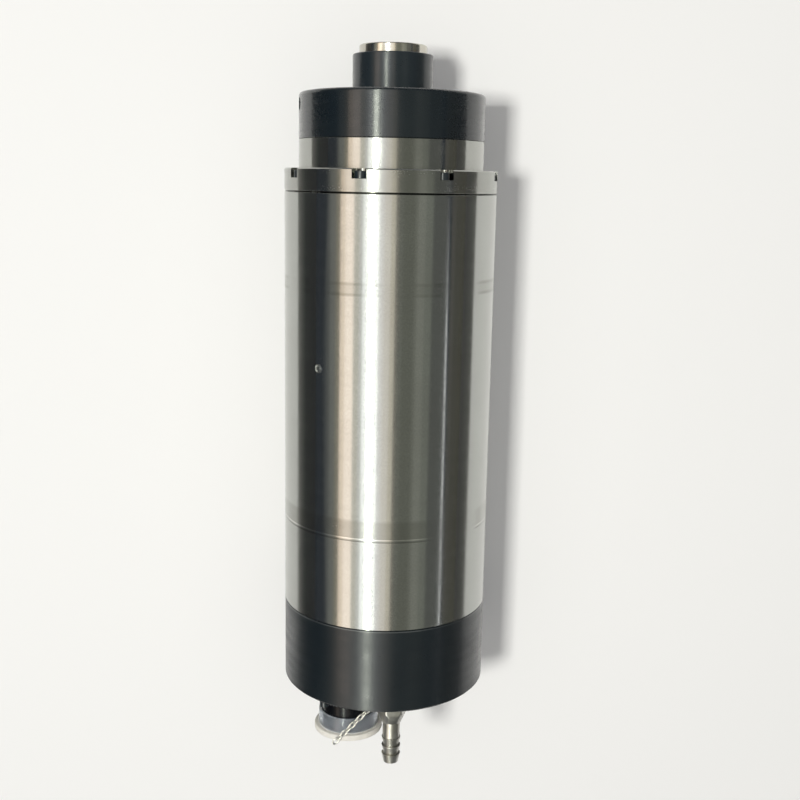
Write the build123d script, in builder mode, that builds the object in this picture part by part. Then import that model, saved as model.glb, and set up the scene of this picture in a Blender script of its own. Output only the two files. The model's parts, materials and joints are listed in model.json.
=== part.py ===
import os

from build123d import *

os.makedirs("parts", exist_ok=True)

# Motor spindle lying on its side.  Millimetres.
# Y runs along the spindle axis with the nose toward +Y, Z is up, X is to the right.
# The origin is on the axis at the middle of the clamping length of the housing tube.
# Every angle round the axis is measured from +Z toward +X.

# ---------------------------------------------------------------- shared fits
FIT = 0.02  # radial clearance of a fixed fit
RUN = 0.05  # radial clearance of a running fit
GAP = 0.3  # radial clearance between parts that move freely

# ---------------------------------------------------------------- outside sizes
BODY_R = 60.0  # housing tube, flange and rear cover
NOSE_R = 52.0  # bearing housing nose and front cap
TUBE_L = 239.0
FLANGE_L = 12.5
NOSE_L = 16.0
CAP_L = 25.0
COVER_L = 49.0

Y_TUBE_F = TUBE_L / 2
Y_TUBE_R = -TUBE_L / 2
Y_FLANGE = Y_TUBE_F + FLANGE_L
Y_NOSE = Y_FLANGE + NOSE_L
Y_CAP = Y_NOSE + CAP_L
Y_REAR = Y_TUBE_R - COVER_L

# ---------------------------------------------------------------- housing tube
TUBE_BORE_R = BODY_R - 8.0
WEB_L = 30.0  # inner web at the rear end that carries the rear bearing housing
COVER_PLATE = 10.0
COVER_BORE_R = BODY_R - 18.0
WEB_BORE_R = COVER_BORE_R - 9.0
RECESS_R = COVER_BORE_R + 1.0
RECESS_L = 6.0
Y_WEB = Y_TUBE_R + WEB_L
Y_RECESS = Y_TUBE_R + RECESS_L
Y_SPIGOT = Y_TUBE_F - 19.5  # rear end of the bearing housing inside the tube

# ---------------------------------------------------------------- screws
M3_R = 1.5
M4_R = 2.0
M5_R = 2.5
M5_SINK_R = 4.75
M5_SINK = 6.0
FLANGE_SCREWS = 8
FLANGE_SCREW_L = 16.0
FLANGE_SCREW_PCR = BODY_R - 4.0  # pitch circle radius
FLANGE_SCREW_START = -15.4  # degrees
NOTCH_W = 8.0
NOTCH_DEPTH = 5.25
FLANGE_FLOOR = FLANGE_L - NOTCH_DEPTH
CAP_SCREWS = 6
CAP_SCREW_L = 30.0
CAP_SCREW_PCR = NOSE_R - 8.0
COVER_SCREWS = 4
COVER_SCREW_THREAD = 12.0
COVER_SCREW_L = COVER_L - M5_SINK + COVER_SCREW_THREAD
COVER_SCREW_PCR = BODY_R - 8.0
COVER_SCREW_START = 25.0
REAR_SCREWS = 6
REAR_SCREW_L = 16.0
REAR_SCREW_PCR = COVER_BORE_R - 4.0
WIRE_ANGLE = -36.5  # degrees, toward the connector
WIRE_HOLE_R = 4.0
WIRE_HOLE_PCR = COVER_BORE_R - 3.5
REAR_SCREW_START = WIRE_ANGLE + 30

# ---------------------------------------------------------------- water circuit
PORT_X = 5.7
PORT_Z = BODY_R - 13.0
PASSAGE_R = 2.25
JACKET_R = TUBE_BORE_R - FIT
JACKET_BORE_R = TUBE_BORE_R - 8.0
JACKET_F = Y_SPIGOT - 0.7
JACKET_B = Y_WEB + 0.2
CHANNELS = 14
CHANNEL_W = 15.0
CHANNEL_FLOOR_R = JACKET_BORE_R + 4.0
CHANNEL_F = Y_SPIGOT - 10.0
CHANNEL_B = Y_WEB + 9.5
CHANNEL_START = 1.4  # degrees
LINK_L = 12.0
SEAL_WIRE_R = 0.9
SEAL_GROOVE_W = 2.6
SEAL_F = Y_SPIGOT - 5.5
SEAL_B = Y_WEB + 5.0
SET_SCREW_Y = Y_TUBE_F - 93.9
SET_SCREW_ANGLE = -38.2
DOG_R = 1.5
SEAL_FLOOR_R = TUBE_BORE_R - 1.9
PASSAGE_SEAL_R = 3.6
PASSAGE_WIRE_R = 0.5

# ---------------------------------------------------------------- motor
STATOR_R = JACKET_BORE_R - FIT
STATOR_BORE_R = JACKET_BORE_R - 18.0
CORE_F = Y_TUBE_F - 59.5
CORE_B = Y_TUBE_R + 69.5
SLOTS = 24
SLOT_W = 4.2
SLOT_IN_R = STATOR_BORE_R + 2.0
SLOT_OUT_R = JACKET_BORE_R - 6.0
SLOT_MOUTH_W = 1.6
END_TURNS = 22.0  # length of the winding beyond each end of the core
WINDING_F = CORE_F + END_TURNS
WINDING_B = CORE_B - END_TURNS
WINDING_IN_R = SLOT_IN_R + 0.5
WINDING_OUT_R = JACKET_BORE_R - 4.0
WINDING_ROUND = (WINDING_OUT_R - WINDING_IN_R) * 0.35
ROTOR_R = STATOR_BORE_R - GAP
BARS = 22
BAR_R = 1.7
BAR_PCR = ROTOR_R - 2.5
END_RING_L = 10.0
BALANCE_L = 6.0
BALANCE_PCR = ROTOR_R - 4.2
ROTOR_BORE_R = ROTOR_R - 8.7

# ---------------------------------------------------------------- front bearings, 40 x 68 x 15
FB_BORE_R = 20.0
FB_OUT_R = 34.0
FB_W = 15.0
FB_SPACER = 8.0
FB_BALL_R = 3.969
FB_BALLS = 14
FB_PITCH_R = (FB_BORE_R + FB_OUT_R) / 2
Y_FB_FRONT = Y_NOSE - 2.0
Y_FB_1 = Y_FB_FRONT - FB_W / 2
Y_FB_2 = Y_FB_FRONT - FB_W * 1.5 - FB_SPACER
Y_FB_BACK = Y_FB_FRONT - 2 * FB_W - FB_SPACER

HOUSING_LIP_R = 31.0
CAP_BORE_R = 25.0
CAP_SPIGOT_R = 30.5
AIR_Y = Y_CAP - 6.5
AIR_R = 3.4
AIR_ANGLE = -77.5  # degrees
LOCKNUT_L = 10.0

# ---------------------------------------------------------------- rear bearings, 30 x 55 x 13
RB_OUT_R = WEB_BORE_R - 5.5
RB_BORE_R = RB_OUT_R - 12.5
RB_W = 13.0
RB_BALL_R = 3.572
RB_BALLS = 13
RB_PITCH_R = (RB_BORE_R + RB_OUT_R) / 2
Y_LIP = Y_WEB - 0.5
REAR_LIP_R = RB_OUT_R - 3.5
SPRING_L = 1.6
Y_RB_FRONT = Y_LIP - SPRING_L
Y_RB_1 = Y_RB_FRONT - RB_W / 2
Y_RB_2 = Y_RB_1 - RB_W - 2 * FIT
Y_RB_BACK = Y_RB_2 - RB_W / 2

# ---------------------------------------------------------------- shaft, collet and nut
COLLAR_R = CAP_BORE_R - GAP
COLLAR_F = Y_CAP - 0.3
THREAD_R = 16.0
NOSE_END = Y_CAP + 16.0
SHAFT_BACK = Y_TUBE_R - 8.5
SHAFT_MID_R = 19.0
SHAFT_BORE_END = NOSE_END - 39.0
TOOL_BORE_R = 8.5
COLLET_FRONT = NOSE_END + 9.2
COLLET_MAX_R = 13.0
COLLET_MAX_Y = NOSE_END + 1.5
COLLET_BACK = NOSE_END - 24.8
COLLET_BACK_R = 9.3
COLLET_BORE_R = 5.0
COLLET_SLIT = 0.8
COLLET_GROOVE_R = 11.4
COLLET_CONE_R = 12.9
COLLET_CONE_Y = NOSE_END + 4.0
TAPER_FIT = 0.03
TAPER = (COLLET_MAX_R - COLLET_BACK_R) / (COLLET_MAX_Y - COLLET_BACK)  # 8 degrees
TAPER_FRONT_R = COLLET_MAX_R - TAPER * (COLLET_MAX_Y - NOSE_END) + TAPER_FIT
TAPER_BACK_R = COLLET_BACK_R - TAPER * 0.7 + TAPER_FIT
NUT_R = 22.4
NUT_BACK = Y_CAP + 0.5
NUT_FRONT = Y_CAP + 21.0
RING_R = 18.8
RING_FRONT = NUT_FRONT + 5.0
RING_BACK = NOSE_END + 0.5
NUT_BALL_R = 1.0
NUT_BALLS = 30
NUT_BALL_Y = NOSE_END + 2.6

# ---------------------------------------------------------------- connector
CON_X = -20.0
CON_Z = BODY_R - 33.0
CON_FLANGE_R = 22.0
CON_FLANGE_L = 3.0
CON_R = 16.0
CON_BORE_R = 13.5
CON_END = Y_REAR - 22.5
CON_SCREW_PCR = 19.0
CON_POCKET_L = 11.0  # room for the leads behind the connector, cut into the cover's wall
DUST_MOUTH = Y_REAR - 12.5
DUST_END = Y_REAR - 25.0
DUST_R = 17.5
DUST_RIM_R = 20.0
DUST_RIM_L = 3.4
PIN_R = 0.75
INSERT_BACK = Y_REAR + 11.5
INSERT_FRONT = Y_REAR - 15.5
PIN_PCR = 8.0
PIN_BACK = Y_REAR + 14.0
PIN_FRONT = CON_END + 2.5
THREAD_PITCH = 1.5
THREAD_TURNS = 4

# ---------------------------------------------------------------- hose barbs
PORT_THREAD_R = 6.58
SEAL_L = 1.0
BARB_BORE_R = 3.0
BARB_HEX = 16.0
BARB_HEX_END = Y_REAR - 10.9
BARB_TAPER_L = 7.0  # long cone that takes the hexagon down to the neck
BARB_TURN = 9.0  # degrees
BARB_NECK_R = 4.95
BARB_NECK_L = 9.5
BARB_NECK_END = BARB_HEX_END - BARB_NECK_L
BARB_RIDGE_R = 5.45
BARB_ROOT_R = 4.35
BARB_RIDGES = 3
BARB_PITCH = 5.1
BARB_END = BARB_NECK_END - BARB_RIDGES * BARB_PITCH - 0.5
BARB_SHANK = 8.5  # threaded length in the cover

# ---------------------------------------------------------------- chain of the dust cap
EYELET_L = 0.8
EYELET_REACH = 5.2
EYELET_ANGLE = -95.0  # degrees, from the screw to the loop
LINK_LEN = 5.3
LINK_BEND_R = 1.25
LINK_WIRE_R = 0.5
LINK_STEP = 3.2
LINKS = 8
BAR_CORNER = 0.6  # corners beside the straight bar that the first link hangs on
CHAIN_RUN = (-17.3, -16.4, 4.6)  # direction from the eyelet to the free end

# ---------------------------------------------------------------- leads
LEAD_R = 1.2
LEAD_PCR = 2.2


# ---------------------------------------------------------------- small helpers
def station(y):
    """Plane across the axis at y: its x is X, its y is Z, and extrusion goes to the rear."""
    return Plane.XZ.offset(-y)


def nose_side(y):
    """Plane across the axis at y that faces the nose."""
    return Plane(origin=(0, y, 0), x_dir=(1, 0, 0), z_dir=(0, 1, 0))


def radial(angle, y, r):
    """Plane tangent to the cylinder of radius r at this angle, facing outward, its x along Y."""
    out = Vector(0, 0, 1).rotate(Axis.Y, angle)
    return Plane(origin=Vector(0, y, 0) + out * r, x_dir=(0, 1, 0), z_dir=out)


def turned(*points):
    """A turned solid whose half section is this closed polygon of (radius, y) points."""
    with BuildPart() as solid:
        with BuildSketch(Plane.XY):
            with BuildLine():
                Polyline(*points, close=True)
            make_face()
        revolve(axis=Axis.Y)
    return solid.part


def ring(inner, outer, y_low, y_high):
    """A plain turned ring."""
    return turned((inner, y_low), (outer, y_low), (outer, y_high), (inner, y_high))


def cap_screw(shank_r, length, head_r, head_l, socket):
    """Socket head screw: the head seat at the origin, the head up +Z, the shank down -Z."""
    with BuildPart() as screw:
        with BuildSketch():
            Circle(head_r)
        extrude(amount=head_l)
        fillet(screw.edges().group_by(Axis.Z)[-1], head_l * 0.12)
        with BuildSketch(Plane.XY.offset(head_l)):
            RegularPolygon(socket / 2, 6, major_radius=False)
        extrude(amount=-head_l * 0.55, mode=Mode.SUBTRACT)
        with BuildSketch():
            Circle(shank_r)
        extrude(amount=-length)
        chamfer(screw.edges().group_by(Axis.Z)[0], shank_r * 0.25)
    return screw.part


def bearing_rings(inner, outer, pitch, ball, stations, width):
    """Turned rings at these stations, each with a groove in which the balls run."""
    with BuildPart() as rings:
        for y in stations:
            add(ring(inner, outer, y - width / 2, y + width / 2))
            with Locations((0, y, 0)):
                Torus(pitch, ball + FIT, rotation=(90, 0, 0), mode=Mode.SUBTRACT)
    return rings.part


def bearing_balls(pitch, ball, count, stations):
    """The balls of the bearings at these stations."""
    with BuildPart() as balls:
        for y in stations:
            with Locations(nose_side(y)):
                with PolarLocations(pitch, count):
                    Sphere(ball)
    return balls.part


def bearing_cages(pitch, ball, count, stations):
    """Cage bands, each with one round pocket for every ball."""
    width = 2 * ball + 3
    with BuildPart() as cages:
        for y in stations:
            add(ring(pitch - ball * 0.3, pitch + ball * 0.3, y - width / 2, y + width / 2))
            with Locations(nose_side(y)):
                with PolarLocations(pitch, count):
                    Cylinder(ball + 0.15, 2 * ball, rotation=(0, 90, 0), mode=Mode.SUBTRACT)
    return cages.part


def hose_barb(x, z):
    """Hose barb screwed into the rear face: thread, hexagon, neck and three barbs, drilled through."""
    shank_end = Y_REAR + BARB_SHANK
    barb = [(BARB_BORE_R, shank_end), (PORT_THREAD_R - FIT, shank_end)]
    barb += [(PORT_THREAD_R - FIT, Y_REAR - SEAL_L), (BARB_NECK_R, Y_REAR - SEAL_L)]
    barb += [(BARB_NECK_R, BARB_NECK_END)]
    for ridge in range(BARB_RIDGES):
        barb += [(BARB_RIDGE_R, BARB_NECK_END - ridge * BARB_PITCH - 0.15)]
        barb += [(BARB_ROOT_R, BARB_NECK_END - (ridge + 1) * BARB_PITCH + 0.15)]
    barb += [(BARB_ROOT_R, BARB_END + 0.6), (BARB_ROOT_R - 0.6, BARB_END), (BARB_BORE_R, BARB_END)]
    with BuildPart() as fitting:
        with BuildSketch(station(Y_REAR - SEAL_L)):
            RegularPolygon(BARB_HEX / 2, 6, rotation=BARB_TURN, major_radius=False)
        extrude(amount=Y_REAR - SEAL_L - BARB_HEX_END)
        add(
            turned(
                (0, Y_REAR),
                (BARB_HEX / 2 - 0.3, Y_REAR - SEAL_L),
                (BARB_HEX / 2 + 1.0, Y_REAR - SEAL_L - 0.8),
                (BARB_HEX / 2 + 1.0, BARB_HEX_END + BARB_TAPER_L),
                (BARB_NECK_R + 0.7, BARB_HEX_END),
                (0, BARB_HEX_END),
            ),
            mode=Mode.INTERSECT,
        )
        add(turned(*barb))
        with BuildSketch(station(shank_end)):
            Circle(BARB_BORE_R)
        extrude(amount=shank_end - BARB_END, mode=Mode.SUBTRACT)
    return Pos(x, 0, z) * fitting.part


# ================================================================ housing
with BuildPart() as housing_tube:
    add(
        turned(
            (TUBE_BORE_R, Y_TUBE_F),
            (BODY_R - 0.6, Y_TUBE_F),
            (BODY_R, Y_TUBE_F - 0.6),
            (BODY_R, Y_TUBE_R + 0.3),
            (BODY_R - 0.3, Y_TUBE_R),
            (RECESS_R, Y_TUBE_R),
            (RECESS_R, Y_RECESS),
            (WEB_BORE_R, Y_RECESS),
            (WEB_BORE_R, Y_WEB),
            (TUBE_BORE_R, Y_WEB),
        )
    )
    with BuildSketch(station(Y_TUBE_F)):
        with PolarLocations(FLANGE_SCREW_PCR, FLANGE_SCREWS, 90 - FLANGE_SCREW_START):
            Circle(M4_R + FIT)
    extrude(amount=FLANGE_SCREW_L - FLANGE_FLOOR + 1, mode=Mode.SUBTRACT)
    with BuildSketch(station(Y_TUBE_R)):
        with PolarLocations(COVER_SCREW_PCR, COVER_SCREWS, 90 - COVER_SCREW_START):
            Circle(M5_R + FIT)
    extrude(amount=-COVER_SCREW_THREAD - 3, mode=Mode.SUBTRACT)
    with BuildSketch(station(Y_RECESS)):
        with PolarLocations(REAR_SCREW_PCR, REAR_SCREWS, 90 - REAR_SCREW_START):
            Circle(M4_R + FIT)
    extrude(amount=RECESS_L - REAR_SCREW_L - 2, mode=Mode.SUBTRACT)
    with BuildSketch(station(Y_TUBE_R)):
        with Locations((PORT_X, PORT_Z), (-PORT_X, -PORT_Z)):
            Circle(PASSAGE_R)
        with PolarLocations(WIRE_HOLE_PCR, 1, 90 - WIRE_ANGLE):
            Circle(WIRE_HOLE_R)
    extrude(amount=-WEB_L, mode=Mode.SUBTRACT)
    with BuildSketch(radial(SET_SCREW_ANGLE, SET_SCREW_Y, BODY_R)):
        Circle(M5_R + FIT)
    extrude(amount=TUBE_BORE_R - BODY_R - 1, mode=Mode.SUBTRACT)

with BuildPart() as jacket_set_screw:
    with BuildSketch(radial(SET_SCREW_ANGLE, SET_SCREW_Y, BODY_R - 0.7)):
        Circle(M5_R)
    extrude(amount=TUBE_BORE_R - BODY_R + 0.9)
    with BuildSketch(radial(SET_SCREW_ANGLE, SET_SCREW_Y, TUBE_BORE_R + 0.2)):
        Circle(DOG_R)
    extrude(amount=-2)
    with BuildSketch(radial(SET_SCREW_ANGLE, SET_SCREW_Y, BODY_R - 0.7)):
        RegularPolygon(1.25, 6, major_radius=False)
    extrude(amount=-2.5, mode=Mode.SUBTRACT)

with BuildPart() as front_bearing_housing:
    add(
        turned(
            (FB_OUT_R, Y_NOSE),
            (NOSE_R - 0.4, Y_NOSE),
            (NOSE_R, Y_NOSE - 0.4),
            (NOSE_R, Y_FLANGE),
            (BODY_R - 0.6, Y_FLANGE),
            (BODY_R, Y_FLANGE - 0.6),
            (BODY_R, Y_TUBE_F + 0.6),
            (BODY_R - 0.6, Y_TUBE_F),
            (TUBE_BORE_R - FIT, Y_TUBE_F),
            (TUBE_BORE_R - FIT, Y_SPIGOT),
            (HOUSING_LIP_R, Y_SPIGOT),
            (HOUSING_LIP_R, Y_FB_BACK),
            (FB_OUT_R, Y_FB_BACK),
        )
    )
    with BuildSketch(station(Y_FLANGE)):
        with PolarLocations(FLANGE_SCREW_PCR, FLANGE_SCREWS, 90 - FLANGE_SCREW_START):
            Circle(NOTCH_W / 2)
        with PolarLocations(FLANGE_SCREW_PCR + 4, FLANGE_SCREWS, 90 - FLANGE_SCREW_START):
            Rectangle(8, NOTCH_W)
    extrude(amount=NOTCH_DEPTH, mode=Mode.SUBTRACT)
    with BuildSketch(station(Y_FLANGE)):
        with PolarLocations(FLANGE_SCREW_PCR, FLANGE_SCREWS, 90 - FLANGE_SCREW_START):
            Circle(M4_R + 0.25)
    extrude(amount=FLANGE_L, mode=Mode.SUBTRACT)
    with BuildSketch(station(Y_NOSE)):
        with PolarLocations(CAP_SCREW_PCR, CAP_SCREWS, 90):
            Circle(M5_R + FIT)
    extrude(amount=CAP_SCREW_L - CAP_L + M5_SINK + 2, mode=Mode.SUBTRACT)

with BuildPart(nose_side(Y_FLANGE - NOTCH_DEPTH)) as flange_screws:
    with PolarLocations(FLANGE_SCREW_PCR, FLANGE_SCREWS, FLANGE_SCREW_START - 90):
        add(cap_screw(M4_R, FLANGE_SCREW_L, 3.5, 4, 3))

with BuildPart() as front_cap:
    add(
        turned(
            (CAP_BORE_R, Y_CAP),
            (NOSE_R, Y_CAP),
            (NOSE_R, Y_NOSE + 0.3),
            (NOSE_R - 0.3, Y_NOSE),
            (FB_OUT_R - FIT, Y_NOSE),
            (FB_OUT_R - FIT, Y_FB_FRONT),
            (CAP_SPIGOT_R, Y_FB_FRONT),
            (CAP_SPIGOT_R, Y_NOSE + 2),
            (CAP_BORE_R, Y_NOSE + 2),
            (CAP_BORE_R, AIR_Y - 2.5),
            (CAP_BORE_R + 3, AIR_Y - 2.5),
            (CAP_BORE_R + 3, AIR_Y + 2.5),
            (CAP_BORE_R, AIR_Y + 2.5),
        )
    )
    outer_edge = front_cap.edges().filter_by(GeomType.CIRCLE).group_by(Axis.Y)[-1]
    fillet(outer_edge.sort_by(SortBy.RADIUS)[-1], 2)
    with BuildSketch(station(Y_CAP)):
        with PolarLocations(CAP_SCREW_PCR, CAP_SCREWS, 90):
            Circle(M5_R + 0.25)
    extrude(amount=CAP_L, mode=Mode.SUBTRACT)
    with BuildSketch(station(Y_CAP)):
        with PolarLocations(CAP_SCREW_PCR, CAP_SCREWS, 90):
            Circle(M5_SINK_R)
    extrude(amount=M5_SINK, mode=Mode.SUBTRACT)
    with BuildSketch(radial(AIR_ANGLE, AIR_Y, NOSE_R)):
        Circle(AIR_R)
    extrude(amount=CAP_BORE_R + 1 - NOSE_R, mode=Mode.SUBTRACT)

with BuildPart(nose_side(Y_CAP - M5_SINK)) as front_cap_screws:
    with PolarLocations(CAP_SCREW_PCR, CAP_SCREWS, -90):
        add(cap_screw(M5_R, CAP_SCREW_L, 4.25, 5, 4))

with BuildPart() as rear_bearing_housing:
    add(
        turned(
            (RB_OUT_R, Y_TUBE_R),
            (RECESS_R - FIT, Y_TUBE_R),
            (RECESS_R - FIT, Y_RECESS),
            (WEB_BORE_R - FIT, Y_RECESS),
            (WEB_BORE_R - FIT, Y_LIP + 3),
            (REAR_LIP_R, Y_LIP + 3),
            (REAR_LIP_R, Y_LIP),
            (RB_OUT_R, Y_LIP),
        )
    )
    with BuildSketch(station(Y_TUBE_R)):
        with PolarLocations(REAR_SCREW_PCR, REAR_SCREWS, 90 - REAR_SCREW_START):
            Circle(M4_R + 0.25)
        with PolarLocations(WIRE_HOLE_PCR, 1, 90 - WIRE_ANGLE):
            Circle(WIRE_HOLE_R)
    extrude(amount=-RECESS_L, mode=Mode.SUBTRACT)

with BuildPart(station(Y_TUBE_R)) as rear_bearing_screws:
    with PolarLocations(REAR_SCREW_PCR, REAR_SCREWS, 90 - REAR_SCREW_START):
        add(cap_screw(M4_R, REAR_SCREW_L, 3.5, 4, 3))

with BuildPart() as rear_cover:
    add(
        turned(
            (COVER_BORE_R, Y_TUBE_R),
            (BODY_R - 0.3, Y_TUBE_R),
            (BODY_R, Y_TUBE_R - 0.3),
            (BODY_R, Y_REAR + 1),
            (BODY_R - 1, Y_REAR),
            (0, Y_REAR),
            (0, Y_REAR + COVER_PLATE),
            (COVER_BORE_R, Y_REAR + COVER_PLATE),
        )
    )
    with BuildSketch(station(Y_REAR)):
        with Locations((CON_X, CON_Z)):
            Circle(CON_R)
    extrude(amount=-COVER_PLATE, mode=Mode.SUBTRACT)
    with BuildSketch(station(Y_REAR + COVER_PLATE)):
        with Locations((CON_X, CON_Z)):
            Circle(CON_BORE_R + 1)
    extrude(amount=-CON_POCKET_L, mode=Mode.SUBTRACT)
    with BuildSketch(station(Y_REAR)):
        with PolarLocations(COVER_SCREW_PCR, COVER_SCREWS, 90 - COVER_SCREW_START):
            Circle(M5_R + 0.25)
        with Locations((PORT_X, PORT_Z), (-PORT_X, -PORT_Z)):
            Circle(PASSAGE_R)
    extrude(amount=-COVER_L, mode=Mode.SUBTRACT)
    with BuildSketch(station(Y_REAR)):
        with PolarLocations(COVER_SCREW_PCR, COVER_SCREWS, 90 - COVER_SCREW_START):
            Circle(M5_SINK_R)
    extrude(amount=-M5_SINK, mode=Mode.SUBTRACT)
    with BuildSketch(station(Y_REAR)):
        with Locations((PORT_X, PORT_Z), (-PORT_X, -PORT_Z)):
            Circle(PORT_THREAD_R)
    extrude(amount=-BARB_SHANK - 0.5, mode=Mode.SUBTRACT)
    with BuildSketch(station(Y_TUBE_R)):
        with Locations((PORT_X, PORT_Z), (-PORT_X, -PORT_Z)):
            Circle(PASSAGE_SEAL_R + PASSAGE_WIRE_R + 0.1)
    extrude(amount=2 * PASSAGE_WIRE_R + 0.05, mode=Mode.SUBTRACT)
    with BuildSketch(station(Y_REAR)):
        with Locations((CON_X, CON_Z)):
            with PolarLocations(CON_SCREW_PCR, 4, 45):
                Circle(M3_R + FIT)
    extrude(amount=-7, mode=Mode.SUBTRACT)

with BuildPart(station(Y_REAR + M5_SINK)) as rear_cover_screws:
    with PolarLocations(COVER_SCREW_PCR, COVER_SCREWS, 90 - COVER_SCREW_START):
        add(cap_screw(M5_R, COVER_SCREW_L, 4.25, 5, 4))

with BuildPart(station(Y_TUBE_R - PASSAGE_WIRE_R - 0.03)) as passage_seals:
    with Locations((PORT_X, PORT_Z), (-PORT_X, -PORT_Z)):
        Torus(PASSAGE_SEAL_R, PASSAGE_WIRE_R)

# ================================================================ water jacket
with BuildPart() as water_jacket:
    add(ring(JACKET_BORE_R, JACKET_R, JACKET_B, JACKET_F))
    pitch = 360 / CHANNELS
    with BuildSketch(station(CHANNEL_F)):
        with PolarLocations(CHANNEL_FLOOR_R + 3, CHANNELS, 90 - CHANNEL_START):
            Rectangle(6, CHANNEL_W)
    extrude(amount=CHANNEL_F - CHANNEL_B, mode=Mode.SUBTRACT)
    for first, link_y in ((0, CHANNEL_F), (1, CHANNEL_B + LINK_L)):
        with BuildSketch(station(link_y)):
            for step in range(first, CHANNELS // 2, 2):
                for side in (-1, 1):
                    land = CHANNEL_START + side * (step + 0.5) * pitch
                    with PolarLocations(CHANNEL_FLOOR_R + 3, 1, 90 - land):
                        Rectangle(6, CHANNEL_W)
        extrude(amount=LINK_L, mode=Mode.SUBTRACT)
    with BuildSketch(Plane.XY):
        with Locations((SEAL_FLOOR_R + 2, SEAL_F), (SEAL_FLOOR_R + 2, SEAL_B)):
            Rectangle(4, SEAL_GROOVE_W)
    revolve(axis=Axis.Y, mode=Mode.SUBTRACT)
    with BuildSketch(station(JACKET_B)):
        with Locations((PORT_X, PORT_Z), (-PORT_X, -PORT_Z)):
            Circle(PASSAGE_R)
    extrude(amount=JACKET_B - CHANNEL_B - 1, mode=Mode.SUBTRACT)
    with BuildSketch(radial(SET_SCREW_ANGLE, SET_SCREW_Y, JACKET_R)):
        Circle(DOG_R + FIT)
    extrude(amount=-2, mode=Mode.SUBTRACT)

with BuildPart() as jacket_seals:
    with Locations((0, SEAL_F, 0), (0, SEAL_B, 0)):
        Torus(TUBE_BORE_R - FIT - SEAL_WIRE_R, SEAL_WIRE_R, rotation=(90, 0, 0))

# ================================================================ motor
with BuildPart() as stator_core:
    add(ring(STATOR_BORE_R, STATOR_R, CORE_B, CORE_F))
    with BuildSketch(station(CORE_F)):
        with PolarLocations((SLOT_IN_R + SLOT_OUT_R) / 2, SLOTS):
            Rectangle(SLOT_OUT_R - SLOT_IN_R, SLOT_W)
        with PolarLocations(SLOT_IN_R - 1, SLOTS):
            Rectangle(4, SLOT_MOUTH_W)
    extrude(amount=CORE_F - CORE_B, mode=Mode.SUBTRACT)

with BuildPart() as stator_winding:
    add(ring(WINDING_IN_R, WINDING_OUT_R, CORE_F + 0.4, WINDING_F))
    add(ring(WINDING_IN_R, WINDING_OUT_R, WINDING_B, CORE_B - 0.4))
    fillet(stator_winding.edges().group_by(Axis.Y)[-1], WINDING_ROUND)
    fillet(stator_winding.edges().group_by(Axis.Y)[0], WINDING_ROUND)
    with BuildSketch(station(CORE_F + 1)):
        with PolarLocations((WINDING_IN_R + SLOT_OUT_R) / 2, SLOTS):
            Rectangle(SLOT_OUT_R - WINDING_IN_R - 0.2, SLOT_W - 0.2)
    extrude(amount=CORE_F - CORE_B + 2)

with BuildPart() as rotor_core:
    add(ring(ROTOR_BORE_R + FIT, ROTOR_R, CORE_B, CORE_F))
    with BuildSketch(station(CORE_F)):
        with PolarLocations(BAR_PCR, BARS):
            Circle(BAR_R)
    extrude(amount=CORE_F - CORE_B, mode=Mode.SUBTRACT)

with BuildPart() as rotor_cage:
    add(ring(ROTOR_BORE_R + 1, ROTOR_R - 0.2, CORE_F, CORE_F + END_RING_L))
    add(ring(ROTOR_BORE_R + 1, ROTOR_R - 0.2, CORE_B - END_RING_L, CORE_B))
    with BuildSketch(station(CORE_F + 1)):
        with PolarLocations(BAR_PCR, BARS):
            Circle(BAR_R - FIT)
    extrude(amount=CORE_F - CORE_B + 2)

with BuildPart() as balance_rings:
    for end in (CORE_F + END_RING_L, CORE_B - END_RING_L - BALANCE_L):
        add(ring(ROTOR_BORE_R + FIT, ROTOR_R - 0.7, end, end + BALANCE_L))
        with BuildSketch(station(end + BALANCE_L)):
            with PolarLocations(BALANCE_PCR, 12):
                Circle(2)
        extrude(amount=BALANCE_L, mode=Mode.SUBTRACT)

# ================================================================ shaft and bearings
with BuildPart() as shaft:
    add(
        turned(
            (0, SHAFT_BORE_END),
            (TOOL_BORE_R, SHAFT_BORE_END),
            (TOOL_BORE_R, COLLET_BACK - 1.2),
            (TAPER_BACK_R, COLLET_BACK - 0.7),
            (TAPER_FRONT_R, NOSE_END),
            (THREAD_R - 0.8, NOSE_END),
            (THREAD_R, NOSE_END - 0.8),
            (THREAD_R, COLLAR_F + 2.5),
            (THREAD_R - 1, COLLAR_F + 2.5),
            (THREAD_R - 1, COLLAR_F),
            (COLLAR_R - 0.4, COLLAR_F),
            (COLLAR_R, COLLAR_F - 0.4),
            (COLLAR_R, Y_FB_FRONT),
            (FB_BORE_R, Y_FB_FRONT),
            (FB_BORE_R, Y_FB_BACK),
            (SHAFT_MID_R, Y_FB_BACK),
            (SHAFT_MID_R, CORE_F + END_RING_L + BALANCE_L),
            (ROTOR_BORE_R, CORE_F + END_RING_L + BALANCE_L),
            (ROTOR_BORE_R, Y_RB_FRONT),
            (RB_BORE_R, Y_RB_FRONT),
            (RB_BORE_R, SHAFT_BACK + 0.8),
            (RB_BORE_R - 0.8, SHAFT_BACK),
            (3, SHAFT_BACK),
            (0, SHAFT_BACK + 4),
        )
    )
    with BuildSketch(Plane.XY):
        with Locations(*[(COLLAR_R, Y_NOSE + 4 + 4 * step) for step in range(3)]):
            Rectangle(3, 2)
    revolve(axis=Axis.Y, mode=Mode.SUBTRACT)

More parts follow.
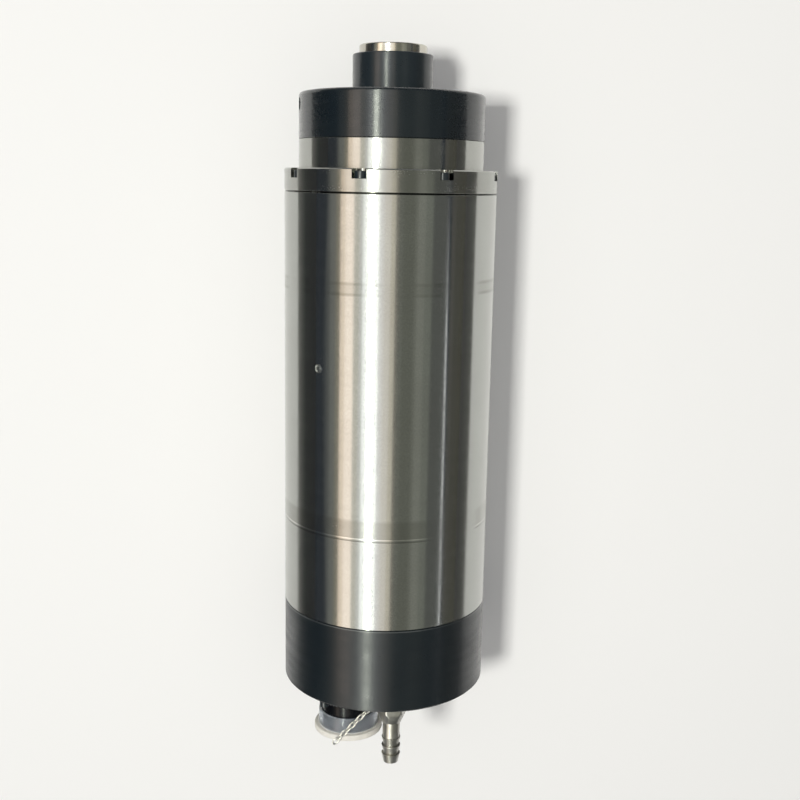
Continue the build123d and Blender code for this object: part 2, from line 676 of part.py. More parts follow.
FB_STATIONS = (Y_FB_1, Y_FB_2)
FB_LAND = FB_BALL_R * 0.5
with BuildPart() as front_bearing_outer_rings:
    add(bearing_rings(FB_PITCH_R + FB_LAND, FB_OUT_R - FIT, FB_PITCH_R, FB_BALL_R, FB_STATIONS, FB_W))
with BuildPart() as front_bearing_inner_rings:
    add(bearing_rings(FB_BORE_R + FIT, FB_PITCH_R - FB_LAND, FB_PITCH_R, FB_BALL_R, FB_STATIONS, FB_W))
with BuildPart() as front_bearing_balls:
    add(bearing_balls(FB_PITCH_R, FB_BALL_R, FB_BALLS, FB_STATIONS))
with BuildPart() as front_bearing_cages:
    add(bearing_cages(FB_PITCH_R, FB_BALL_R, FB_BALLS, FB_STATIONS))
with BuildPart() as front_outer_spacer:
    add(ring(HOUSING_LIP_R, FB_OUT_R - FIT, Y_FB_2 + FB_W / 2, Y_FB_1 - FB_W / 2))
with BuildPart() as front_inner_spacer:
    add(ring(FB_BORE_R + FIT, FB_BORE_R + 3, Y_FB_2 + FB_W / 2, Y_FB_1 - FB_W / 2))

RB_STATIONS = (Y_RB_1, Y_RB_2)
RB_LAND = RB_BALL_R * 0.5
with BuildPart() as rear_bearing_outer_rings:
    add(bearing_rings(RB_PITCH_R + RB_LAND, RB_OUT_R - FIT, RB_PITCH_R, RB_BALL_R, RB_STATIONS, RB_W))
with BuildPart() as rear_bearing_inner_rings:
    add(bearing_rings(RB_BORE_R + FIT, RB_PITCH_R - RB_LAND, RB_PITCH_R, RB_BALL_R, RB_STATIONS, RB_W))
with BuildPart() as rear_bearing_balls:
    add(bearing_balls(RB_PITCH_R, RB_BALL_R, RB_BALLS, RB_STATIONS))
with BuildPart() as rear_bearing_cages:
    add(bearing_cages(RB_PITCH_R, RB_BALL_R, RB_BALLS, RB_STATIONS))

with BuildPart() as preload_spring:
    add(
        turned(
            (REAR_LIP_R + 0.4, Y_LIP),
            (RB_OUT_R - 0.3, Y_LIP - SPRING_L + 0.8),
            (RB_OUT_R - 0.3, Y_LIP - SPRING_L),
            (REAR_LIP_R + 0.4, Y_LIP - 0.8),
        )
    )

with BuildPart() as front_locknut:
    add(ring(SHAFT_MID_R + FIT, 27, Y_FB_BACK - LOCKNUT_L, Y_FB_BACK))
    with BuildSketch(station(Y_FB_BACK)):
        with PolarLocations(27, 4):
            Rectangle(4, 5)
    extrude(amount=LOCKNUT_L, mode=Mode.SUBTRACT)

with BuildPart() as rear_locknut:
    add(ring(RB_BORE_R + FIT, RB_OUT_R - 5.5, Y_RB_BACK - 8, Y_RB_BACK))
    with BuildSketch(station(Y_RB_BACK)):
        with PolarLocations(RB_OUT_R - 5.5, 4):
            Rectangle(4, 4.5)
    extrude(amount=8, mode=Mode.SUBTRACT)

# ================================================================ collet and nut
with BuildPart() as collet:
    add(
        turned(
            (COLLET_BORE_R, COLLET_BACK),
            (COLLET_BACK_R - 0.3, COLLET_BACK),
            (COLLET_BACK_R, COLLET_BACK + 0.3),
            (COLLET_MAX_R, COLLET_MAX_Y),
            (COLLET_GROOVE_R, COLLET_MAX_Y + 0.3),
            (COLLET_GROOVE_R, COLLET_CONE_Y - 0.4),
            (COLLET_CONE_R, COLLET_CONE_Y),
            (COLLET_CONE_R - 3, COLLET_FRONT),
            (COLLET_BORE_R, COLLET_FRONT),
        )
    )
    with BuildSketch(station(COLLET_FRONT)):
        with PolarLocations(9, 8):
            Rectangle(10, COLLET_SLIT)
    extrude(amount=COLLET_FRONT - COLLET_BACK - 4.3, mode=Mode.SUBTRACT)
    with BuildSketch(station(COLLET_BACK)):
        with PolarLocations(9, 8, 22.5):
            Rectangle(10, COLLET_SLIT)
    extrude(amount=COLLET_BACK - COLLET_FRONT + 6.2, mode=Mode.SUBTRACT)

with BuildPart() as nut_ring:
    add(
        turned(
            (COLLET_MAX_R + 0.2, RING_BACK),
            (RING_R, RING_BACK),
            (RING_R, RING_FRONT - 0.8),
            (RING_R - 0.8, RING_FRONT),
            (COLLET_CONE_R - 2.6, RING_FRONT),
            (COLLET_CONE_R - 3 + 2 * TAPER_FIT, COLLET_FRONT),
            (COLLET_CONE_R + 2 * TAPER_FIT, COLLET_CONE_Y - 0.05),
            (COLLET_GROOVE_R + 0.4, COLLET_CONE_Y - 0.7),
            (COLLET_GROOVE_R + 0.4, COLLET_MAX_Y + 0.7),
            (COLLET_MAX_R + 0.2, COLLET_MAX_Y + 0.5),
        )
    )
    with Locations((0, NUT_BALL_Y, 0)):
        Torus(RING_R + RUN / 2, NUT_BALL_R + FIT, rotation=(90, 0, 0), mode=Mode.SUBTRACT)

with BuildPart() as nut_balls:
    add(bearing_balls(RING_R + RUN / 2, NUT_BALL_R, NUT_BALLS, (NUT_BALL_Y,)))

with BuildPart() as collet_nut:
    add(
        turned(
            (THREAD_R + RUN, NUT_BACK),
            (NUT_R - 0.6, NUT_BACK),
            (NUT_R, NUT_BACK + 0.6),
            (NUT_R, NUT_FRONT - 0.6),
            (NUT_R - 0.6, NUT_FRONT),
            (RING_R + RUN, NUT_FRONT),
            (RING_R + RUN, RING_BACK - 0.1),
            (THREAD_R + RUN, RING_BACK - 0.1),
        )
    )
    with Locations((0, NUT_BALL_Y, 0)):
        Torus(RING_R + RUN / 2, NUT_BALL_R + FIT, rotation=(90, 0, 0), mode=Mode.SUBTRACT)

# ================================================================ water fittings
with BuildPart() as water_inlet_fitting:
    add(hose_barb(PORT_X, PORT_Z))
with BuildPart() as water_outlet_fitting:
    add(hose_barb(-PORT_X, -PORT_Z))
with BuildPart() as fitting_seals:
    for side in (-1, 1):
        with Locations((side * PORT_X, 0, side * PORT_Z)):
            add(ring(PORT_THREAD_R, 9, Y_REAR - SEAL_L, Y_REAR))

# ================================================================ connector
thread = []
for turn in range(THREAD_TURNS):
    y_turn = DUST_MOUTH - 1.0 - turn * THREAD_PITCH
    thread += [(CON_R, y_turn), (CON_R - 0.8, y_turn - THREAD_PITCH / 2)]
with BuildPart() as connector_shell:
    with Locations((CON_X, 0, CON_Z)):
        add(
            turned(
                (CON_BORE_R, Y_REAR + COVER_PLATE),
                (CON_R - FIT, Y_REAR + COVER_PLATE),
                (CON_R - FIT, Y_REAR),
                (CON_FLANGE_R, Y_REAR),
                (CON_FLANGE_R, Y_REAR - CON_FLANGE_L + 0.5),
                (CON_FLANGE_R - 0.5, Y_REAR - CON_FLANGE_L),
                (CON_R, Y_REAR - CON_FLANGE_L),
                *thread,
                (CON_R, y_turn - THREAD_PITCH),
                (CON_R, CON_END + 0.5),
                (CON_R - 0.5, CON_END),
                (CON_BORE_R, CON_END),
            )
        )
    with BuildSketch(station(Y_REAR)):
        with Locations((CON_X, CON_Z)):
            with PolarLocations(CON_SCREW_PCR, 4, 45):
                Circle(M3_R + 0.2)
    extrude(amount=CON_FLANGE_L, mode=Mode.SUBTRACT)

with BuildPart() as connector_insert:
    with BuildSketch(station(INSERT_BACK)):
        with Locations((CON_X, CON_Z)):
            Circle(CON_BORE_R - FIT)
            with PolarLocations(PIN_PCR, 6):
                Circle(PIN_R + FIT, mode=Mode.SUBTRACT)
            Circle(PIN_R + FIT, mode=Mode.SUBTRACT)
    extrude(amount=INSERT_BACK - INSERT_FRONT)

with BuildPart() as connector_pins:
    with BuildSketch(station(PIN_BACK)):
        with Locations((CON_X, CON_Z)):
            with PolarLocations(PIN_PCR, 6):
                Circle(PIN_R)
            Circle(PIN_R)
    extrude(amount=PIN_BACK - PIN_FRONT)
    chamfer(connector_pins.edges().group_by(Axis.Y)[0], 0.3)

with BuildPart() as connector_screws:
    for angle, seat in ((45, EYELET_L), (135, 0), (225, 0), (315, 0)):
        with Locations(station(Y_REAR - CON_FLANGE_L - seat)):
            with Locations((CON_X, CON_Z)):
                with PolarLocations(CON_SCREW_PCR, 1, angle):
                    add(cap_screw(M3_R, 8, 2.75, 3, 2.5))

with BuildPart() as dust_cap:
    with Locations((CON_X, 0, CON_Z)):
        add(
            turned(
                (CON_R + GAP, DUST_MOUTH),
                (DUST_R, DUST_MOUTH),
                (DUST_R, DUST_END + DUST_RIM_L),
                (DUST_RIM_R - 0.5, DUST_END + DUST_RIM_L),
                (DUST_RIM_R, DUST_END + DUST_RIM_L - 0.5),
                (DUST_RIM_R, DUST_END + 0.5),
                (DUST_RIM_R - 0.5, DUST_END),
                (0, DUST_END),
                (0, DUST_END + 1.5),
                (CON_R + GAP, DUST_END + 1.5),
            )
        )

# ---------------------------------------------------------------- chain
eye = Vector(CON_X, 0, CON_Z) + Vector(CON_SCREW_PCR, 0, 0).rotate(Axis.Y, -45)
foot = eye + Vector(EYELET_REACH, 0, 0).rotate(Axis.Y, EYELET_ANGLE)
run = Vector(*CHAIN_RUN).normalized()
face_up = Vector(run.X, 0, run.Z).cross(Vector(0, -1, 0)).normalized()
straight = LINK_LEN / 2 - LINK_WIRE_R - LINK_BEND_R
loop_back = straight * abs(run.Y) + LINK_BEND_R + LINK_WIRE_R
loop = Vector(foot.X + run.X * straight, Y_REAR - CON_FLANGE_L - loop_back, foot.Z + run.Z * straight)
with BuildPart() as eyelet_loop:
    with BuildLine():
        tip = straight + LINK_BEND_R
        bend = ThreePointArc((-straight, LINK_BEND_R), (-tip, 0), (-straight, -LINK_BEND_R))
        side = Line(bend @ 1, (tip - BAR_CORNER, -LINK_BEND_R))
        corner = TangentArc(side @ 1, (tip, BAR_CORNER - LINK_BEND_R), tangent=side % 1)
        bar = Line(corner @ 1, (tip, LINK_BEND_R - BAR_CORNER))
        corner = TangentArc(bar @ 1, (tip - BAR_CORNER, LINK_BEND_R), tangent=bar % 1)
        Line(corner @ 1, bend @ 0)
    with BuildSketch(Plane(origin=side @ 0, z_dir=side % 0)):
        Circle(LINK_WIRE_R)
    sweep()
with BuildPart() as chain_link:
    with BuildLine():
        near = Line((-straight, -LINK_BEND_R), (straight, -LINK_BEND_R))
        bend = ThreePointArc(near @ 1, (straight + LINK_BEND_R, 0), (straight, LINK_BEND_R))
        far = Line(bend @ 1, (-straight, LINK_BEND_R))
        ThreePointArc(far @ 1, (-straight - LINK_BEND_R, 0), near @ 0)
    with BuildSketch(Plane(origin=near @ 0, z_dir=near % 0)):
        Circle(LINK_WIRE_R)
    sweep()
with BuildPart() as chain_eyelet:
    with BuildSketch(station(Y_REAR - CON_FLANGE_L)):
        with Locations((eye.X, eye.Z)):
            Circle(2.9)
        with Locations((foot.X, foot.Z)):
            Circle(1.8)
        make_hull()
        with Locations((eye.X, eye.Z)):
            Circle(M3_R + 0.2, mode=Mode.SUBTRACT)
    extrude(amount=EYELET_L)
    with Locations(Plane(origin=loop, x_dir=run, z_dir=face_up)):
        add(eyelet_loop.part)
with BuildPart() as cap_chain:
    for link in range(1, LINKS + 1):
        flat = run.cross(face_up) if link % 2 else face_up
        with Locations(Plane(origin=loop + run * link * LINK_STEP, x_dir=run, z_dir=flat)):
            add(chain_link.part)

# ---------------------------------------------------------------- leads to the winding
lead_spots = PolarLocations(LEAD_PCR, 3, 30)
with BuildPart() as motor_leads:
    for spot in lead_spots:
        offset = spot.position
        start = Vector(CON_X + 2 * offset.X, PIN_BACK, CON_Z + 2 * offset.Y)
        hole = Vector(0, 0, WIRE_HOLE_PCR).rotate(Axis.Y, WIRE_ANGLE) + Vector(offset.X, 0, offset.Y)
        middle = Vector(hole.X, Y_TUBE_R - 8, hole.Z)
        end = Vector(hole.X, WINDING_B, hole.Z)
        with BuildLine() as lead_line:
            Spline(start, middle, tangents=(Vector(0, 1, 0), Vector(0, 1, 0)))
            Line(middle, end)
        with BuildSketch(nose_side(PIN_BACK)):
            with Locations(nose_side(PIN_BACK).to_local_coords(start)):
                Circle(LEAD_R)
        sweep(path=lead_line.wires()[0])

# ================================================================ pieces written out
PIECES = {
    "housing_tube": housing_tube,
    "jacket_set_screw": jacket_set_screw,
    "front_bearing_housing": front_bearing_housing,
    "flange_screws": flange_screws,
    "front_cap": front_cap,
    "front_cap_screws": front_cap_screws,
    "rear_bearing_housing": rear_bearing_housing,
    "rear_bearing_screws": rear_bearing_screws,
    "rear_cover": rear_cover,
    "rear_cover_screws": rear_cover_screws,
    "passage_seals": passage_seals,
    "water_jacket": water_jacket,
    "jacket_seals": jacket_seals,
    "stator_core": stator_core,
    "stator_winding": stator_winding,
    "rotor_core": rotor_core,
    "rotor_cage": rotor_cage,
    "balance_rings": balance_rings,
    "shaft": shaft,
    "front_bearing_outer_rings": front_bearing_outer_rings,
    "front_bearing_inner_rings": front_bearing_inner_rings,
    "front_bearing_balls": front_bearing_balls,
    "front_bearing_cages": front_bearing_cages,
    "front_outer_spacer": front_outer_spacer,
    "front_inner_spacer": front_inner_spacer,
    "rear_bearing_outer_rings": rear_bearing_outer_rings,
    "rear_bearing_inner_rings": rear_bearing_inner_rings,
    "rear_bearing_balls": rear_bearing_balls,
    "rear_bearing_cages": rear_bearing_cages,
    "preload_spring": preload_spring,
    "front_locknut": front_locknut,
    "rear_locknut": rear_locknut,
    "collet": collet,
    "nut_ring": nut_ring,
    "nut_balls": nut_balls,
    "collet_nut": collet_nut,
    "water_inlet_fitting": water_inlet_fitting,
    "water_outlet_fitting": water_outlet_fitting,
    "fitting_seals": fitting_seals,
    "connector_shell": connector_shell,
    "connector_insert": connector_insert,
    "connector_pins": connector_pins,
    "connector_screws": connector_screws,
    "dust_cap": dust_cap,
    "chain_eyelet": chain_eyelet,
    "cap_chain": cap_chain,
    "motor_leads": motor_leads,
}
for name, piece in PIECES.items():
    piece.part.label = name
    export_step(piece.part, f"parts/{name}.step")
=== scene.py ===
# %% [markdown]
# # A motor spindle lying on a pale bench
# A motor spindle is an electric motor built into a long tube, with bearings at both ends and a collet at
# the nose. This lesson dresses its CAD model: turned stainless steel, black anodised rings, a nickel
# plated hose fitting, a milky dust cap and its little chain. The spindle's axis is Y, the nose points to
# +Y and Z is up. The model is in metres, and the sizes of small parts are written in millimetres.

import json
import math

import bpy
import numpy as np
from mathutils import Matrix, Vector

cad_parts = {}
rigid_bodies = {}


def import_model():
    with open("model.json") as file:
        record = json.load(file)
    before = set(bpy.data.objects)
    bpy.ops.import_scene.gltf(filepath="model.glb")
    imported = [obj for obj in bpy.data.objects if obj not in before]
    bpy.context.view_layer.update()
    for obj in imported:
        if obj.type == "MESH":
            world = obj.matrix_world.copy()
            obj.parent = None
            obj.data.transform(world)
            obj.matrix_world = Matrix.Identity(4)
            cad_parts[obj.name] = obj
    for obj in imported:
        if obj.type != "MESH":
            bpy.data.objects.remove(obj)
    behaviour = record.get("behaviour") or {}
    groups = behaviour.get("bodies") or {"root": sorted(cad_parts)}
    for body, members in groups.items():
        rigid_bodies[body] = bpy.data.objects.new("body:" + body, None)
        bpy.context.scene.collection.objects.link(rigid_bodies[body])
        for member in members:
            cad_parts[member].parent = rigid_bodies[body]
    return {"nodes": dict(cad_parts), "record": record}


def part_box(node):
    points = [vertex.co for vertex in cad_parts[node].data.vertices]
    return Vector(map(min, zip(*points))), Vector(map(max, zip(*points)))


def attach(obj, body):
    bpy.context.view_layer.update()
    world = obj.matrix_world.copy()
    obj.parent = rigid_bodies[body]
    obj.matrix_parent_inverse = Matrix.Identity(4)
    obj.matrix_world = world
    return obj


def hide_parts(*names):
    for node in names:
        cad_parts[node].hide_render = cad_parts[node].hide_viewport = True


for leftover in list(bpy.data.objects):
    bpy.data.objects.remove(leftover)
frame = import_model()
nodes = frame["nodes"]
bpy.context.view_layer.update()
MM = 0.001
UM = 0.000001


def in_mm(box):
    """Both corners of a box as arrays in millimetres."""
    return [np.array(corner) / MM for corner in box]


print("pieces in the packed model:", len(nodes))

# %% [markdown]
# ## The camera
# A phone held 0.7 m above the bench sees the spindle almost from straight above, a little from its nose.
# The nearer nose end then looks wider than the rear. The camera gets its place, its tilt, its roll and
# its focal length as plain numbers, and no shift.

# %% Camera above the nose, tilted to the rear
CAMERA_PLACE = Vector((0.00727, 0.1261, 0.62941))
TILT = 0.1981
ROLL = 0.0187
FOCAL_PIXELS = 1092.43
RENDER_PIXELS = 800.0
SENSOR_MM = 36.0

look = Vector((0.0, -math.sin(TILT), -math.cos(TILT)))
level_up = Vector((0.0, math.cos(TILT), -math.sin(TILT)))
level_right = Vector((1.0, 0.0, 0.0))
right = level_right * math.cos(ROLL) + level_up * math.sin(ROLL)
up = level_up * math.cos(ROLL) - level_right * math.sin(ROLL)

camera_data = bpy.data.cameras.new("bench_camera")
camera_data.sensor_width = SENSOR_MM
camera_data.lens = FOCAL_PIXELS * SENSOR_MM / RENDER_PIXELS
camera_data.clip_start = 0.01
camera = bpy.data.objects.new("bench_camera", camera_data)
turn = Matrix((right, up, -look)).transposed()
camera.matrix_world = Matrix.Translation(CAMERA_PLACE) @ turn.to_4x4()
bpy.context.scene.collection.objects.link(camera)
bpy.context.scene.camera = camera
print("camera lens in mm:", round(camera_data.lens, 2))


# %% [markdown]
# ## Colours and nodes
# Colours are written as sRGB hex values, the way a paint chart gives them, and turned to the linear
# values that a renderer needs. One function adds a node together with its settings and its inputs. An
# input may be a number, a hex colour or another node, so that a material reads like a recipe. Another
# function makes a flat sheet, for the floor and for the cards beside the spindle.

# %% Colour and node helpers
def linear(hex_colour):
    """sRGB hex to linear RGBA: c/12.92 up to 0.04045, else ((c+0.055)/1.055)^2.4 for each channel c."""
    channels = np.array([int(hex_colour[i : i + 2], 16) for i in (1, 3, 5)]) / 255.0
    flat = np.where(channels <= 0.04045, channels / 12.92, ((channels + 0.055) / 1.055) ** 2.4)
    return (*flat.tolist(), 1.0)


def add(tree, kind, inputs=None, **settings):
    """New node: settings are its properties, inputs are numbers, hex colours, nodes or sockets."""
    node = tree.nodes.new(kind)
    for name, value in settings.items():
        setattr(node, name, value)
    for socket, value in (inputs or {}).items():
        if isinstance(value, bpy.types.Node):
            value = next(output for output in value.outputs if output.enabled)
        if isinstance(value, bpy.types.NodeSocket):
            tree.links.new(value, node.inputs[socket])
        else:
            node.inputs[socket].default_value = linear(value) if isinstance(value, str) else value
    return node


MIX_FIRST, MIX_SECOND = 6, 7  # the two colour inputs of a Mix node


def new_material(name):
    """An empty node material: returns the material, its tree and its output node."""
    material = bpy.data.materials.new(name)
    material.use_nodes = True
    material.node_tree.nodes.clear()
    return material, material.node_tree, add(material.node_tree, "ShaderNodeOutputMaterial")


def flat_sheet(name, corners, material):
    """One four-cornered sheet of this material."""
    mesh = bpy.data.meshes.new(name)
    mesh.from_pydata(corners, [], [(0, 1, 2, 3)])
    mesh.materials.append(material)
    sheet = bpy.data.objects.new(name, mesh)
    bpy.context.scene.collection.objects.link(sheet)
    return sheet


print("white #ffffff is", linear("#ffffff"))

# %% [markdown]
# ## Floor
# A sheet of matt white paper. It must stay white in the render and still take the spindle's soft
# shadow, so a little white is added for the camera, for mirrors and for clear plastic, on top of a plain
# diffuse surface. Matt surfaces get no extra light from it.

# %% White floor
FLOOR_Z = -60.0 * MM
FLOOR_HALF = 3.0
PAPER_LIFT = 0.14

paper, tree, output = new_material("matt_white_paper")
ray = add(tree, "ShaderNodeLightPath").outputs
camera_or_mirror = {0: ray["Is Camera Ray"], 1: ray["Is Glossy Ray"]}
camera_or_mirror = add(tree, "ShaderNodeMath", camera_or_mirror, operation="MAXIMUM")
seen = {0: camera_or_mirror, 1: ray["Is Transmission Ray"]}
seen = add(tree, "ShaderNodeMath", seen, operation="MAXIMUM")
lift = add(tree, "ShaderNodeMath", {0: seen, 1: PAPER_LIFT}, operation="MULTIPLY")
sheet_white = add(tree, "ShaderNodeBsdfDiffuse", {"Color": "#e2e2e0", "Roughness": 0.8})
added_white = add(tree, "ShaderNodeEmission", {"Color": "#ffffff", "Strength": lift})
both = add(tree, "ShaderNodeAddShader", {0: sheet_white, 1: added_white})
tree.links.new(both.outputs[0], output.inputs["Surface"])

floor_corners = []
for x_sign, y_sign in ((-1, -1), (1, -1), (1, 1), (-1, 1)):
    floor_corners.append((x_sign * FLOOR_HALF, y_sign * FLOOR_HALF, FLOOR_Z))
floor = flat_sheet("floor", floor_corners, paper)
print("floor at z =", FLOOR_Z)

# %% [markdown]
# ## What the mirrors see
# A polished cylinder shows its surroundings as stripes along its length. The soft boxes are long and
# stand beside the spindle, each covering a span of angle seen from its axis, counted from straight up
# toward +X. Brightness is given as radiance: the lamp's power in watts is radiance times pi times its
# area. Matt surfaces don't see these boxes, so the stripes can be drawn without changing the shadow.

# %% Soft boxes
BOX_DISTANCE = 1.4
BOX_REAR = -1.85
BOX_FRONT = 1.35
SLIT_START = 63.2  # this narrow box ends at SLIT_FRONT, so the nose doesn't show it
SLIT_FRONT = -0.05
# Each box: from and to in degrees, radiance, colour.
SOFT_BOXES = [
    (-67.8, -64.8, 0.10, "#ffffee"),
    (-64.8, -57.5, 0.22, "#fffdee"),
    (-57.5, -52.3, 0.33, "#fff2d2"),
    (-52.3, -46.6, 1.56, "#ffead4"),
    (-46.6, -37.0, 1.95, "#ffefe1"),
    (-37.0, -31.0, 0.90, "#fffaeb"),
    (-31.0, -27.3, 1.00, "#fffdf8"),
    (-27.3, -22.5, 1.90, "#ffffff"),
    (-22.5, -20.4, 1.10, "#ffffff"),
    (-20.4, -15.4, 15.0, "#faffef"),
    (-15.4, -13.2, 0.80, "#ffffff"),
    (-13.2, -10.4, 2.20, "#ffffff"),
    (-10.4, -7.0, 1.30, "#fffbfa"),
    (-7.0, -4.6, 1.25, "#fff9f4"),
    (-4.6, 1.4, 1.17, "#fff7ec"),
    (1.4, 6.4, 0.93, "#fff5e0"),
    (6.4, 9.5, 0.29, "#fff4dc"),
    (9.5, 14.0, 0.195, "#fffde2"),
    (14.0, 26.0, 0.16, "#fffdda"),
    (26.0, 29.0, 0.21, "#fffde1"),
    (29.0, 37.4, 0.29, "#fffee8"),
    (37.4, 45.6, 0.228, "#feffe6"),
    (45.6, 62.4, 0.108, "#fffbe1"),
    (SLIT_START, 64.7, 1.70, "#ffffff"),
    (67.6, 72.5, 0.10, "#ffefcc"),
    (72.5, 80.0, 0.07, "#ffedad"),
    (80.0, 87.0, 0.07, "#ffe995"),
]


def lamp_beside(name, degrees, width, rear, front, radiance, colour):
    """Area lamp at this angle beside the spindle, facing its axis, from rear to front along Y."""
    angle = math.radians(degrees)
    outward = Vector((math.sin(angle), 0.0, math.cos(angle)))
    across = Vector((0.0, 1.0, 0.0)).cross(outward)
    lamp = bpy.data.lights.new(name, "AREA")
    lamp.shape = "RECTANGLE"
    lamp.size = width
    lamp.size_y = front - rear
    lamp.color = linear(colour)[:3]
    lamp.energy = radiance * math.pi * lamp.size * lamp.size_y
    holder = bpy.data.objects.new(name, lamp)
    place = Matrix.Translation(outward * BOX_DISTANCE + Vector((0, (rear + front) / 2, 0)))
    holder.matrix_world = place @ Matrix((across, (0, 1, 0), outward)).transposed().to_4x4()
    holder.visible_camera = False
    bpy.context.scene.collection.objects.link(holder)
    return holder


for number, (start, stop, radiance, colour) in enumerate(SOFT_BOXES):
    width = 2 * BOX_DISTANCE * math.tan(math.radians(stop - start) / 2)
    front = SLIT_FRONT if start == SLIT_START else BOX_FRONT
    middle = (start + stop) / 2
    box = lamp_beside(f"soft_box_{number}", middle, width, BOX_REAR, front, radiance, colour)
    box.visible_diffuse = False
print("soft boxes:", len(SOFT_BOXES))

# %% [markdown]
# ## What lights the matt surfaces
# The ceiling lamp is small enough to throw a clear shadow, and it stands where the brightest stripe is,
# left of the top, so the shadow falls to the right. A wide fill lamp straight above keeps the shadow
# from going black. Together they light a face that looks up at about the level where a colour looks as
# it is written. Mirrors don't see them, since the soft boxes are there for that.

# %% Ceiling lamp and fill
# Each lamp: name, angle in degrees, width, rear and front end, radiance, colour.
MATT_LAMPS = [
    ("ceiling_lamp", -15.5, 0.18, 0.05, 0.23, 165.0, "#fffefb"),
    ("fill_lamp", 0.0, 2.6, -1.4, 1.4, 0.50, "#fff9f2"),
]
for settings in MATT_LAMPS:
    light = lamp_beside(*settings)
    light.visible_glossy = False
print("lamps for matt surfaces:", len(MATT_LAMPS))

# %% [markdown]
# ## Dark cards
# In a studio, dark cards stand beside polished metal to give it dark edges, which set it off from a
# white ground. One low card stands at each side. Each is painted lighter toward the floor, as painted
# light from the paper below it. The camera and matt surfaces don't see the cards.

# %% Cards at both sides
CARD_TOP = 65.0 * MM
# Each card: name, place along X, upper colour, lower colour that paints light from the paper,
# height where the fade to the lower one begins.
CARDS = [
    ("left_card", -0.24, "#67696b", "#b4b4b0", 0.0),
    ("right_card", 0.44, "#6c6c6c", "#868682", 40.0 * MM),
]
for name, x, upper, painted_bounce_colour, fade_from in CARDS:
    painted, tree, output = new_material(name)
    place = add(tree, "ShaderNodeTexCoord")
    axes = add(tree, "ShaderNodeSeparateXYZ", {0: place.outputs["Object"]})
    # Painted light: toward the floor the card fades to its lighter lower colour, as if lit by the paper.
    painted_bounce_share = {"Value": axes.outputs["Z"], "From Min": fade_from, "From Max": FLOOR_Z}
    painted_bounce_share = add(tree, "ShaderNodeMapRange", painted_bounce_share, clamp=True)
    mix = {"Factor": painted_bounce_share, MIX_FIRST: upper, MIX_SECOND: painted_bounce_colour}
    grey = add(tree, "ShaderNodeMix", mix, data_type="RGBA")
    matt = add(tree, "ShaderNodeBsdfDiffuse", {"Color": grey})
    tree.links.new(matt.outputs[0], output.inputs["Surface"])
    near, far = BOX_REAR, BOX_FRONT
    corners = [(x, near, FLOOR_Z), (x, far, FLOOR_Z), (x, far, CARD_TOP), (x, near, CARD_TOP)]
    card = flat_sheet(name, corners, painted)
    card.visible_camera = False
    card.visible_diffuse = False
    card.visible_shadow = False
print("cards:", len(CARDS))

# %% [markdown]
# ## The room
# A dim bluish room fills what the lamps leave dark. Past the edge of the floor the camera sees white.

# %% Dim room
room = bpy.data.worlds.new("dim_room")
bpy.context.scene.world = room
room.use_nodes = True
room.node_tree.nodes.clear()
tree = room.node_tree
dim = add(tree, "ShaderNodeBackground", {"Color": "#b4c0d0", "Strength": 0.125})
white = add(tree, "ShaderNodeBackground", {"Color": "#ffffff", "Strength": 1.0})
ray = add(tree, "ShaderNodeLightPath")
shown = add(tree, "ShaderNodeMixShader", {0: ray.outputs["Is Camera Ray"], 1: dim, 2: white})
add(tree, "ShaderNodeOutputWorld", {"Surface": shown})
bpy.context.scene.view_settings.view_transform = "Standard"
print("room ready")


# %% [markdown]
# ## Patterns with a real size
# Every finish below has a grain: grooves from a lathe, pores of an anodised skin, smears of oil. Each is
# soft noise in Object coordinates, which are metres here, so a scale can be worked out from a size in
# millimetres. Noise that changes only along Y makes grooves, stretching it along Y makes streaks. The
# values of the noise crowd round 0.5, so a part of its range is spread over the range that is wanted.

# %% Pattern helpers
NOISE_WIDE = {"From Min": 0.3, "From Max": 0.7}
NOISE_NARROW = {"From Min": 0.35, "From Max": 0.65}


def blobs(tree, size_mm, detail=2.0, stretch=(1.0, 1.0, 1.0)):
    """Noise from 0 to 1 with blobs about size_mm across, longer along X, Y and Z by these factors."""
    place = add(tree, "ShaderNodeTexCoord")
    scale = tuple(1.0 / (size_mm * MM * factor) for factor in stretch)
    space = add(tree, "ShaderNodeMapping", {"Vector": place.outputs["Object"], "Scale": scale})
    return add(tree, "ShaderNodeTexNoise", {"Vector": space, "Scale": 1.0, "Detail": detail})


def ring_mark(tree, low_mm, high_mm, soft_mm):
    """One between two places along Y, falling to zero over soft_mm outside them."""
    place = add(tree, "ShaderNodeTexCoord")
    axes = add(tree, "ShaderNodeSeparateXYZ", {0: place.outputs["Object"]})
    sides = []
    for start, stop in ((low_mm - soft_mm, low_mm), (high_mm + soft_mm, high_mm)):
        side = {"Value": axes.outputs["Y"], "From Min": start * MM, "From Max": stop * MM}
        sides.append(add(tree, "ShaderNodeMapRange", side, clamp=True))
    return add(tree, "ShaderNodeMath", {0: sides[0], 1: sides[1]}, operation="MULTIPLY")


def lathe_lines(tree, pitch_mm):
    """Noise of y on walls and of the distance from the Y axis on end faces, so it is rings on both."""
    place = add(tree, "ShaderNodeTexCoord")
    height = add(tree, "ShaderNodeSeparateXYZ", {0: place.outputs["Object"]}).outputs["Y"]
    facing = add(tree, "ShaderNodeSeparateXYZ", {0: place.outputs["Normal"]}).outputs["Y"]
    facing = add(tree, "ShaderNodeMath", {0: facing}, operation="ABSOLUTE")
    flat = {0: place.outputs["Object"], 1: (1.0, 0.0, 1.0)}
    flat = add(tree, "ShaderNodeVectorMath", flat, operation="MULTIPLY")
    radius = add(tree, "ShaderNodeVectorMath", {0: flat}, operation="LENGTH")
    way = add(tree, "ShaderNodeMath", {0: radius, 1: facing, 2: height}, operation="MULTIPLY_ADD")
    lines = {"W": way, "Scale": 1.0 / (pitch_mm * MM), "Detail": 1.0}
    return add(tree, "ShaderNodeTexNoise", lines, noise_dimensions="1D")


